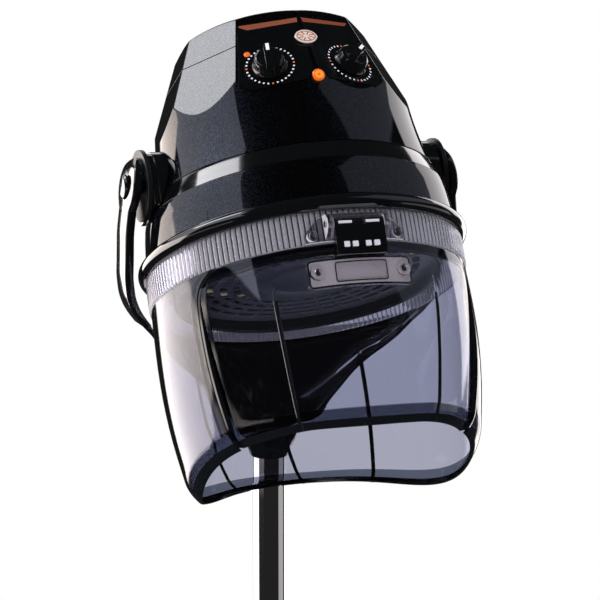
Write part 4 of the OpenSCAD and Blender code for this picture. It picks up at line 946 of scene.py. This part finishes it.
# Blocks set round a circle in groups, with a gap after each group
def radialTree():
    tree = bpy.data.node_groups.new("radialBlocks", "GeometryNodeTree")
    for name, kind in (("Count", "Int"), ("Radius", "Float"), ("First", "Float"), ("Step", "Float"),
                       ("Group", "Int"), ("Gap", "Float"), ("Size", "Vector"), ("Finish", "Material")):
        tree.interface.new_socket(name=name, in_out="INPUT", socket_type="NodeSocket" + kind)
    tree.interface.new_socket(name="Geometry", in_out="OUTPUT", socket_type="NodeSocketGeometry")
    given = tree.nodes.new("NodeGroupInput").outputs
    index = addNode(tree, "GeometryNodeInputIndex").outputs["Index"]
    even = addNode(tree, "ShaderNodeMath", {0: index, 1: given["Step"], 2: given["First"]},
                   operation="MULTIPLY_ADD")
    groups = addNode(tree, "ShaderNodeMath", {0: index, 1: given["Group"]}, operation="DIVIDE")
    groups = addNode(tree, "ShaderNodeMath", {0: groups.outputs["Value"]}, operation="FLOOR")
    turn = addNode(tree, "ShaderNodeMath", {
        0: groups.outputs["Value"], 1: given["Gap"], 2: even.outputs["Value"]},
        operation="MULTIPLY_ADD").outputs["Value"]
    cosine = addNode(tree, "ShaderNodeMath", {0: turn}, operation="COSINE")
    sine = addNode(tree, "ShaderNodeMath", {0: turn}, operation="SINE")
    aside = addNode(tree, "ShaderNodeCombineXYZ", {"X": cosine.outputs["Value"], "Y": sine.outputs["Value"]})
    spot = addNode(tree, "ShaderNodeVectorMath", {0: aside.outputs["Vector"], "Scale": given["Radius"]},
                   operation="SCALE")
    points = addNode(tree, "GeometryNodePoints", {
        "Count": given["Count"], "Position": spot.outputs["Vector"]})
    block = addNode(tree, "GeometryNodeMeshCube", {"Size": given["Size"]})
    facing = addNode(tree, "ShaderNodeCombineXYZ", {"Z": turn})
    placed = addNode(tree, "GeometryNodeInstanceOnPoints", {
        "Points": points.outputs["Points"], "Instance": block.outputs["Mesh"],
        "Rotation": facing.outputs["Vector"]})
    solid = addNode(tree, "GeometryNodeRealizeInstances", {"Geometry": placed.outputs["Instances"]})
    painted = addNode(tree, "GeometryNodeSetMaterial", {
        "Geometry": solid.outputs["Geometry"], "Material": given["Finish"]})
    addNode(tree, "NodeGroupOutput", {"Geometry": painted.outputs["Geometry"]})
    return tree


radial = radialTree()


# Blocks round a circle in the place's x-y plane; sizes in mm, angles in degrees
def radialBlocks(name, count, radius, size, finish, place, body, first=0.0, step=None, group=None, gap=0.0):
    host = bpy.data.objects.new(name + "Host", bpy.data.meshes.new(name + "Host"))
    scene.collection.objects.link(host)
    values = {"Count": count, "Radius": float(radius), "First": math.radians(first),
              "Step": math.radians(360 / count if step is None else step), "Group": group or count,
              "Gap": math.radians(gap), "Size": size, "Finish": finish}
    modifier = host.modifiers.new("blocks", "NODES")
    modifier.node_group = radial
    for socket in radial.interface.items_tree:
        if socket.in_out == "INPUT":
            modifier[socket.identifier] = values[socket.name]
    host.update_tag()
    ready = host.evaluated_get(bpy.context.evaluated_depsgraph_get())
    mesh = bpy.data.meshes.new_from_object(ready)
    mesh.name = name
    bpy.data.objects.remove(host)
    mesh.materials.clear()
    mesh.transform(place)
    linkPiece(name, mesh, finish, body, "", angle=40)


# Small print or colour break, which takes no slot of the record
def plainPiece(name, parts, finish, place, body, bevel=0.0):
    linkPiece(name, meshOf(name, *parts, place), finish, body, "", bevel=bevel)


# Dials: the fascia's frame, the ring of marks round a knob, the coloured film and the stripe on each knob
dial = {"turn": 18.0, "level": 196.0, "aside": 5.0, "face": 1.25, "knobLift": 1.6, "marks": 32, "accents": 4,
        "markRadius": 27.4, "markSize": (2.1, 1.9, 0.3), "markLift": 0.1, "film": (0.8, 1.0),
        "pointerHalf": 1.9, "pointerTurn": {"Left": 0.0, "Right": -48.0},
        "pointer": [(5.5, 20.4), (14.6, 20.4), (21.4, 14.0), (25.4, 3.0), (25.8, 3.0), (21.9, 14.3),
                    (14.8, 20.9), (5.5, 20.9)],
        "filmOutline": {"Left": [(-33.5, 67), (-24, 61), (34.6, 62.5), (34.6, 69.3), (-33.5, 69.3)],
                        "Right": [(-34.6, 62.5), (26, 64), (31, 69.3), (-34.6, 69.3)]}}


# Frame of a front facet at the dials' height: x along it, y up it, z outward
def facetPlace(side):
    return (hoodPlace @ Matrix.Rotation(math.radians(side * dial["turn"]), 4, "Z")
            @ Matrix.Translation((0, -apothemShare * ridgeRadius(dial["level"]), dial["level"]))
            @ Matrix.Rotation(math.pi / 2 - facetLean, 4, "X"))


for side, word, node in ((-1, "Left", "timer_knob"), (1, "Right", "thermostat_knob")):
    place = facetPlace(side)
    centre = place @ Matrix.Translation((side * dial["aside"], 0, 0))
    face = centre @ Matrix.Translation((0, 0, dial["face"] + dial["markLift"]))
    step, accents, mark = 360 / dial["marks"], dial["accents"], (dial["markRadius"], dial["markSize"])
    radialBlocks("dialMarks" + word, dial["marks"] - accents, *mark, whiteInk, face, "hood",
                 first=step, step=step, group=dial["marks"] // accents - 1, gap=step)
    radialBlocks("dialAccents" + word, accents, *mark, orangeInk, face, "hood")
    film = prismParts(dial["filmOutline"][word], *dial["film"])
    plainPiece("fasciaFilm" + word, film, copperFilm, place, "hood")
    turned = Matrix.Rotation(math.radians(dial["pointerTurn"][word]), 4, "Z")
    points, faces = prismParts(dial["pointer"], -dial["pointerHalf"], dial["pointerHalf"])
    points = [(across, out, up) for out, up, across in points]
    plainPiece("knobPointer" + word, (points, faces), whiteInk,
               centre @ Matrix.Translation((0, 0, dial["knobLift"])) @ turned, cadNodes[node]["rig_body"])

# Badge: a border and eight rays on the bare oval plate
badge = {"level": 230.0, "outer": (11.6, 8.3), "inner": (10.4, 7.2), "lift": (2.45, 2.7), "points": 64,
         "rays": 8, "rayRadius": 5.6, "raySize": (5.2, 1.3, 0.25), "rayLift": 2.58,
         "rayStretch": (1.25, 0.85)}
badgePlace = (hoodPlace @ Matrix.Translation((0, -ridgeRadius(badge["level"]), badge["level"]))
              @ Matrix.Rotation(math.pi / 2 - math.atan(ridgeSlope), 4, "X"))
turns = np.linspace(0, 2 * math.pi, badge["points"] + 1)[:-1]
badgeNets = [np.array([[(a * math.cos(t), b * math.sin(t), z) for t in turns] for z in badge["lift"]])
             for a, b in (badge["outer"], badge["inner"])]
plainPiece("badgeBorder", wallParts(*badgeNets, True), copperInk, badgePlace, "hood")
rayPlace = (badgePlace @ Matrix.Translation((0, 0, badge["rayLift"]))
            @ Matrix.Diagonal((*badge["rayStretch"], 1, 1)))
radialBlocks("badgeRays", badge["rays"], badge["rayRadius"], badge["raySize"], copperInk, rayPlace, "hood",
             first=180 / badge["rays"])

# Bracket on the visor: its face stands off the visor's wall, and two lines of painted shade follow its edges
bracket = {"across": 60, "standOff": 5.1, "line": (-0.3, 0.35),
           "outline": {"half": 59.9, "low": -89.0, "high": -57.2, "width": 2.0, "corner": 5.0},
           "recess": {"half": 30.4, "low": -84.4, "high": -61.7, "width": 1.1, "corner": 3.2}}


# Point of the bracket's curved face: x across, u up the hood, lift off the face
def bracketPoint(x, u, lift):
    share = (u - visor["top"]) / (-visor["depth"] - visor["top"])
    foot = min(visor["sideFoot"], visor["frontFoot"] / math.cos(math.asin(bracket["across"] / clear["top"])))
    radius = (clear["top"] + float(wallBow(visor, share)) + (foot - clear["top"]) * share ** visor["draw"]
              + bracket["standOff"] + lift)
    return x, -math.sqrt(radius ** 2 - x ** 2), u


# Flat line of painted shade that follows a rounded rectangle on the bracket's face
def bracketShadeLine(name, line):
    nets = []
    for inset in (0.0, line["width"]):
        half = line["half"] - inset
        loop = roundedLoop(-half, half, line["low"] + inset, line["high"] - inset,
                           max(0.4, line["corner"] - inset), 6)
        fine = []
        for (x, u), (nextX, nextU) in zip(loop, loop[1:] + loop[:1]):
            for share in np.linspace(0, 1, 9)[:-1]:
                fine.append((x + (nextX - x) * share, u + (nextU - u) * share))
        nets.append(np.array([[bracketPoint(x, u, lift) for x, u in fine] for lift in bracket["line"]]))
    plainPiece(name, wallParts(nets[0], nets[1], True), smokeEdgeAndShade, hoodPlace, "visor_flap")


bracketShadeLine("bracketOutlineShade", bracket["outline"])
bracketShadeLine("bracketRecessShade", bracket["recess"])

# Painted highlights for the bright edges in the hinge block's windows and along its barrel: middles across,
# half width, and the low and high corners as (out, up) pairs
glint = {"hinge": {"middles": (-17.5, -7.5, 7.5, 17.5), "half": 3.2, "low": (-203.5, -49.5),
                   "high": (-199.5, -43.6)},
         "barrel": {"middles": (-16.0, 16.0), "half": 8.0, "low": (-203.6, -22.6), "high": (-202.4, -19.6)},
         "round": 0.4}
for word in ("hinge", "barrel"):
    form = glint[word]
    for k, x in enumerate(form["middles"]):
        parts = boxParts((x - form["half"], *form["low"]), (x + form["half"], *form["high"]))
        plainPiece(f"{word}Glint{k}", parts, paintedHighlight, hoodPlace, "visor_flap", bevel=glint["round"])

# Neon lamp: a darker rim and eye on its lens, which stands on the sloping skirt
neon = {"level": 174.0, "rim": [(5.0, 3.2), (6.9, 1.6), (7.35, 1.6), (7.35, 2.6), (6.2, 4.0), (5.0, 4.1)],
        "eye": [(0.01, 3.8), (1.9, 3.8), (1.9, 4.05), (0.01, 4.05)]}
neonLean = math.atan(float(skirtRadius(neon["level"] - 1) - skirtRadius(neon["level"] + 1)) / 2)
neonPlace = (hoodPlace @ Matrix.Translation((0, -float(skirtRadius(neon["level"])), neon["level"]))
             @ Matrix.Rotation(math.pi / 2 - neonLean, 4, "X"))
lathe("neonRim", neon["rim"], neonPlace, lampRim, "hood", "lamp_orange", segments=64)
lathe("neonEye", neon["eye"], neonPlace, lampRim, "hood", "lamp_orange", segments=32)
print("fascia done")

# Camera, in degrees and metres from the middle of the lip's foot
view = {"azimuth": -18.6, "elevation": 9.7, "distance": 3.0, "lens": 153.9, "shiftX": -0.0065,
        "shiftY": -0.06}
azimuth, elevation = math.radians(view["azimuth"]), math.radians(view["elevation"])
away = Vector((math.sin(azimuth) * math.cos(elevation), -math.cos(azimuth) * math.cos(elevation),
               math.sin(elevation)))
cameraData = bpy.data.cameras.new("camera")
cameraData.lens = view["lens"]
cameraData.sensor_width = 36
cameraData.shift_x = view["shiftX"]
cameraData.shift_y = view["shiftY"]
camera = bpy.data.objects.new("camera", cameraData)
scene.collection.objects.link(camera)
camera.location = hoodPlace.translation + away * view["distance"]
camera.rotation_euler = (-away).to_track_quat("-Z", "Y").to_euler()
scene.camera = camera

# Lamps: place, aim, width, height, watts and colour
hoodMiddle = (0, -0.12, 1.3)
lamps = {
    "leftSoftbox": ((-2.2, -0.5, 1.5), hoodMiddle, 0.9, 2.2, 40, "#fdf6ee"),
    "rightSoftbox": ((2.2, -0.2, 1.4), hoodMiddle, 0.8, 2.2, 30, "#fbf6f2"),
    "topSoftbox": ((0.1, -0.3, 3.4), hoodMiddle, 1.6, 1.2, 40, "#ffffff"),
    "grilleFill": ((-0.35, -1.5, 0.55), (-0.05, -0.2, 1.22), 0.3, 0.3, 16, "#ffffff"),
}
for name, (at, aim, width, height, power, code) in lamps.items():
    data = bpy.data.lights.new(name, "AREA")
    data.shape = "RECTANGLE"
    data.size = width
    data.size_y = height
    data.energy = power
    data.color = tint(code)[:3]
    lamp = bpy.data.objects.new(name, data)
    scene.collection.objects.link(lamp)
    lamp.location = at
    lamp.rotation_euler = (Vector(aim) - Vector(at)).to_track_quat("-Z", "Y").to_euler()
    lamp.visible_camera = False
    lamp.visible_glossy = False
    lamp.visible_transmission = False

# What gloss mirrors: cards in a dark studio, in degrees, azimuth 0 in front and negative to the left; soft is
# the width of their edges, and slant moves a card's azimuth by so many degrees for each one above its middle
cards = {
    "highLeftSoftbox": {"azimuth": (-138, -120.5), "elevation": (30.3, 55), "soft": 0.8, "strength": 6.2,
                        "color": "#fbfbff", "slant": 0.5},
    "leftWall": {"azimuth": (-139, -77), "elevation": (25, 56), "soft": 1.5, "strength": 1.5,
                 "color": "#d8def2", "slant": -1.1},
    "leftCard": {"azimuth": (-140, -103), "elevation": (-3, 31), "soft": 1.5, "strength": 1.5,
                 "color": "#e0e2f0"},
    "leftRearCard": {"azimuth": (-162, -133), "elevation": (-6, 10), "soft": 2, "strength": 4.0,
                     "color": "#fff1e8"},
    "lowLeftCard": {"azimuth": (-166, -98), "elevation": (-27, 0), "soft": 4, "strength": 4.5,
                    "color": "#fff4ee"},
    "leftBeltCard": {"azimuth": (-135, -103), "elevation": (-5, 8), "soft": 3, "strength": 4.6,
                     "color": "#fff4ee"},
    "lowFarLeftCard": {"azimuth": (-98, -56), "elevation": (-14, -7), "soft": 2, "strength": 0.9,
                       "color": "#fff0ea"},
    "rightCard": {"azimuth": (112, 143), "elevation": (-8, 22), "soft": 2, "strength": 2.0,
                  "color": "#fbf6f8"},
    "lowRightCard": {"azimuth": (124, 143), "elevation": (-28, -2), "soft": 3, "strength": 2.8,
                     "color": "#fff8f4"},
    "poleRightCard": {"azimuth": (54, 102), "elevation": (-20, -5), "soft": 3, "strength": 0.5,
                      "color": "#fff8f4"},
    "rightDimCard": {"azimuth": (43, 108), "elevation": (14, 60), "soft": 2, "strength": 0.3,
                     "color": "#dfe8ff", "slant": -0.4},
    "rearHighStrip": {"azimuth": (150, 210), "elevation": (15, 33), "soft": 4, "strength": 1.2,
                      "color": "#ffffff"},
}
studio = {"dark": 0.02, "diffuse": 0.5, "floorRadius": 2.2, "floorPoints": 96, "floorColor": "#e8e8ea"}

world = bpy.data.worlds.new("studio")
scene.world = world
world.use_nodes = True
tree = world.node_tree
tree.nodes.clear()
coord = addNode(tree, "ShaderNodeTexCoord")
split = addNode(tree, "ShaderNodeSeparateXYZ", {"Vector": coord.outputs["Generated"]})
ahead = addNode(tree, "ShaderNodeMath", {0: split.outputs["Y"], 1: -1.0}, operation="MULTIPLY")
around = addNode(tree, "ShaderNodeMath", {0: split.outputs["X"], 1: ahead.outputs["Value"]},
                 operation="ARCTAN2")
upward = addNode(tree, "ShaderNodeMath", {0: split.outputs["Z"]}, operation="ARCSINE")


# 1 within a card's two limits in one direction and 0 outside, with a soft edge
def cardSpan(direction, limits, softness):
    low, high = [math.radians(v) for v in limits]
    offset = addNode(tree, "ShaderNodeMath", {0: direction.outputs["Value"], 1: (low + high) / 2},
                     operation="SUBTRACT")
    offset = addNode(tree, "ShaderNodeMath", {0: offset.outputs["Value"], 1: math.pi, 2: -math.pi},
                     operation="WRAP")
    offset = addNode(tree, "ShaderNodeMath", {0: offset.outputs["Value"]}, operation="ABSOLUTE")
    edge, half = (high - low) / 2, math.radians(softness) / 2
    inside = addNode(tree, "ShaderNodeMapRange", {
        "Value": offset.outputs["Value"], "From Min": edge - half, "From Max": edge + half,
        "To Min": 1.0, "To Max": 0.0}, interpolation_type="SMOOTHSTEP")
    return inside.outputs["Result"]


# Light of one card in the direction that is looked along
def cardGlow(card):
    middle = math.radians(sum(card["elevation"]) / 2)
    rise = addNode(tree, "ShaderNodeMath", {0: upward.outputs["Value"], 1: middle}, operation="SUBTRACT")
    slanted = addNode(tree, "ShaderNodeMath", {
        0: rise.outputs["Value"], 1: -card.get("slant", 0), 2: around.outputs["Value"]},
        operation="MULTIPLY_ADD")
    share = addNode(tree, "ShaderNodeMath", {
        0: cardSpan(slanted, card["azimuth"], card["soft"]),
        1: cardSpan(upward, card["elevation"], card["soft"])}, operation="MULTIPLY")
    color = [c * card["strength"] for c in tint(card["color"])[:3]]
    glow = addNode(tree, "ShaderNodeVectorMath", {0: color, "Scale": share.outputs["Value"]},
                   operation="SCALE")
    return glow.outputs["Vector"]


brightest = None
for card in cards.values():
    glow = cardGlow(card)
    brightest = glow if brightest is None else addNode(tree, "ShaderNodeVectorMath", {
        0: brightest, 1: glow}, operation="MAXIMUM").outputs["Vector"]
mirrored = addNode(tree, "ShaderNodeVectorMath", {0: brightest, 1: (studio["dark"],) * 3}, operation="ADD")

# White to the eye, straight or through clear parts, one plain level to diffuse light, and the cards to gloss
path = addNode(tree, "ShaderNodeLightPath")
direct = addNode(tree, "ShaderNodeMath", {
    0: path.outputs["Is Camera Ray"], 1: path.outputs["Is Transmission Ray"]}, operation="MAXIMUM")
unmirrored = addNode(tree, "ShaderNodeMath", {0: path.outputs["Glossy Depth"], 1: 0.5}, operation="LESS_THAN")
seen = addNode(tree, "ShaderNodeMath", {0: direct.outputs["Value"], 1: unmirrored.outputs["Value"]},
               operation="MULTIPLY")
plainLevel = (studio["diffuse"], studio["diffuse"], studio["diffuse"], 1)
diffusePart = addNode(tree, "ShaderNodeMix", {
    "Factor": path.outputs["Is Diffuse Ray"], 6: mirrored.outputs["Vector"], 7: plainLevel}, data_type="RGBA")
light = addNode(tree, "ShaderNodeMix", {
    "Factor": seen.outputs["Value"], 6: diffusePart.outputs[2], 7: (1, 1, 1, 1)}, data_type="RGBA")
backdrop = addNode(tree, "ShaderNodeBackground", {"Color": light.outputs[2], "Strength": 1.0})
output = addNode(tree, "ShaderNodeOutputWorld")
tree.links.new(backdrop.outputs["Background"], output.inputs["Surface"])

floorTurns = np.linspace(0, 2 * math.pi, studio["floorPoints"] + 1)[:-1]
reach = studio["floorRadius"]
floorPoints = [(reach * math.cos(turn), reach * math.sin(turn), 0.0) for turn in floorTurns]
floorMesh = bpy.data.meshes.new("floor")
floorMesh.from_pydata(floorPoints, [], [tuple(range(studio["floorPoints"]))])
floorMesh.materials.append(simpleMaterial("paleFloor", studio["floorColor"], 0.6, wear=0.02))
floor = bpy.data.objects.new("floor", floorMesh)
scene.collection.objects.link(floor)
floor.visible_glossy = False

scene.view_settings.view_transform = "Standard"
scene.view_settings.look = "None"
print("scene done")
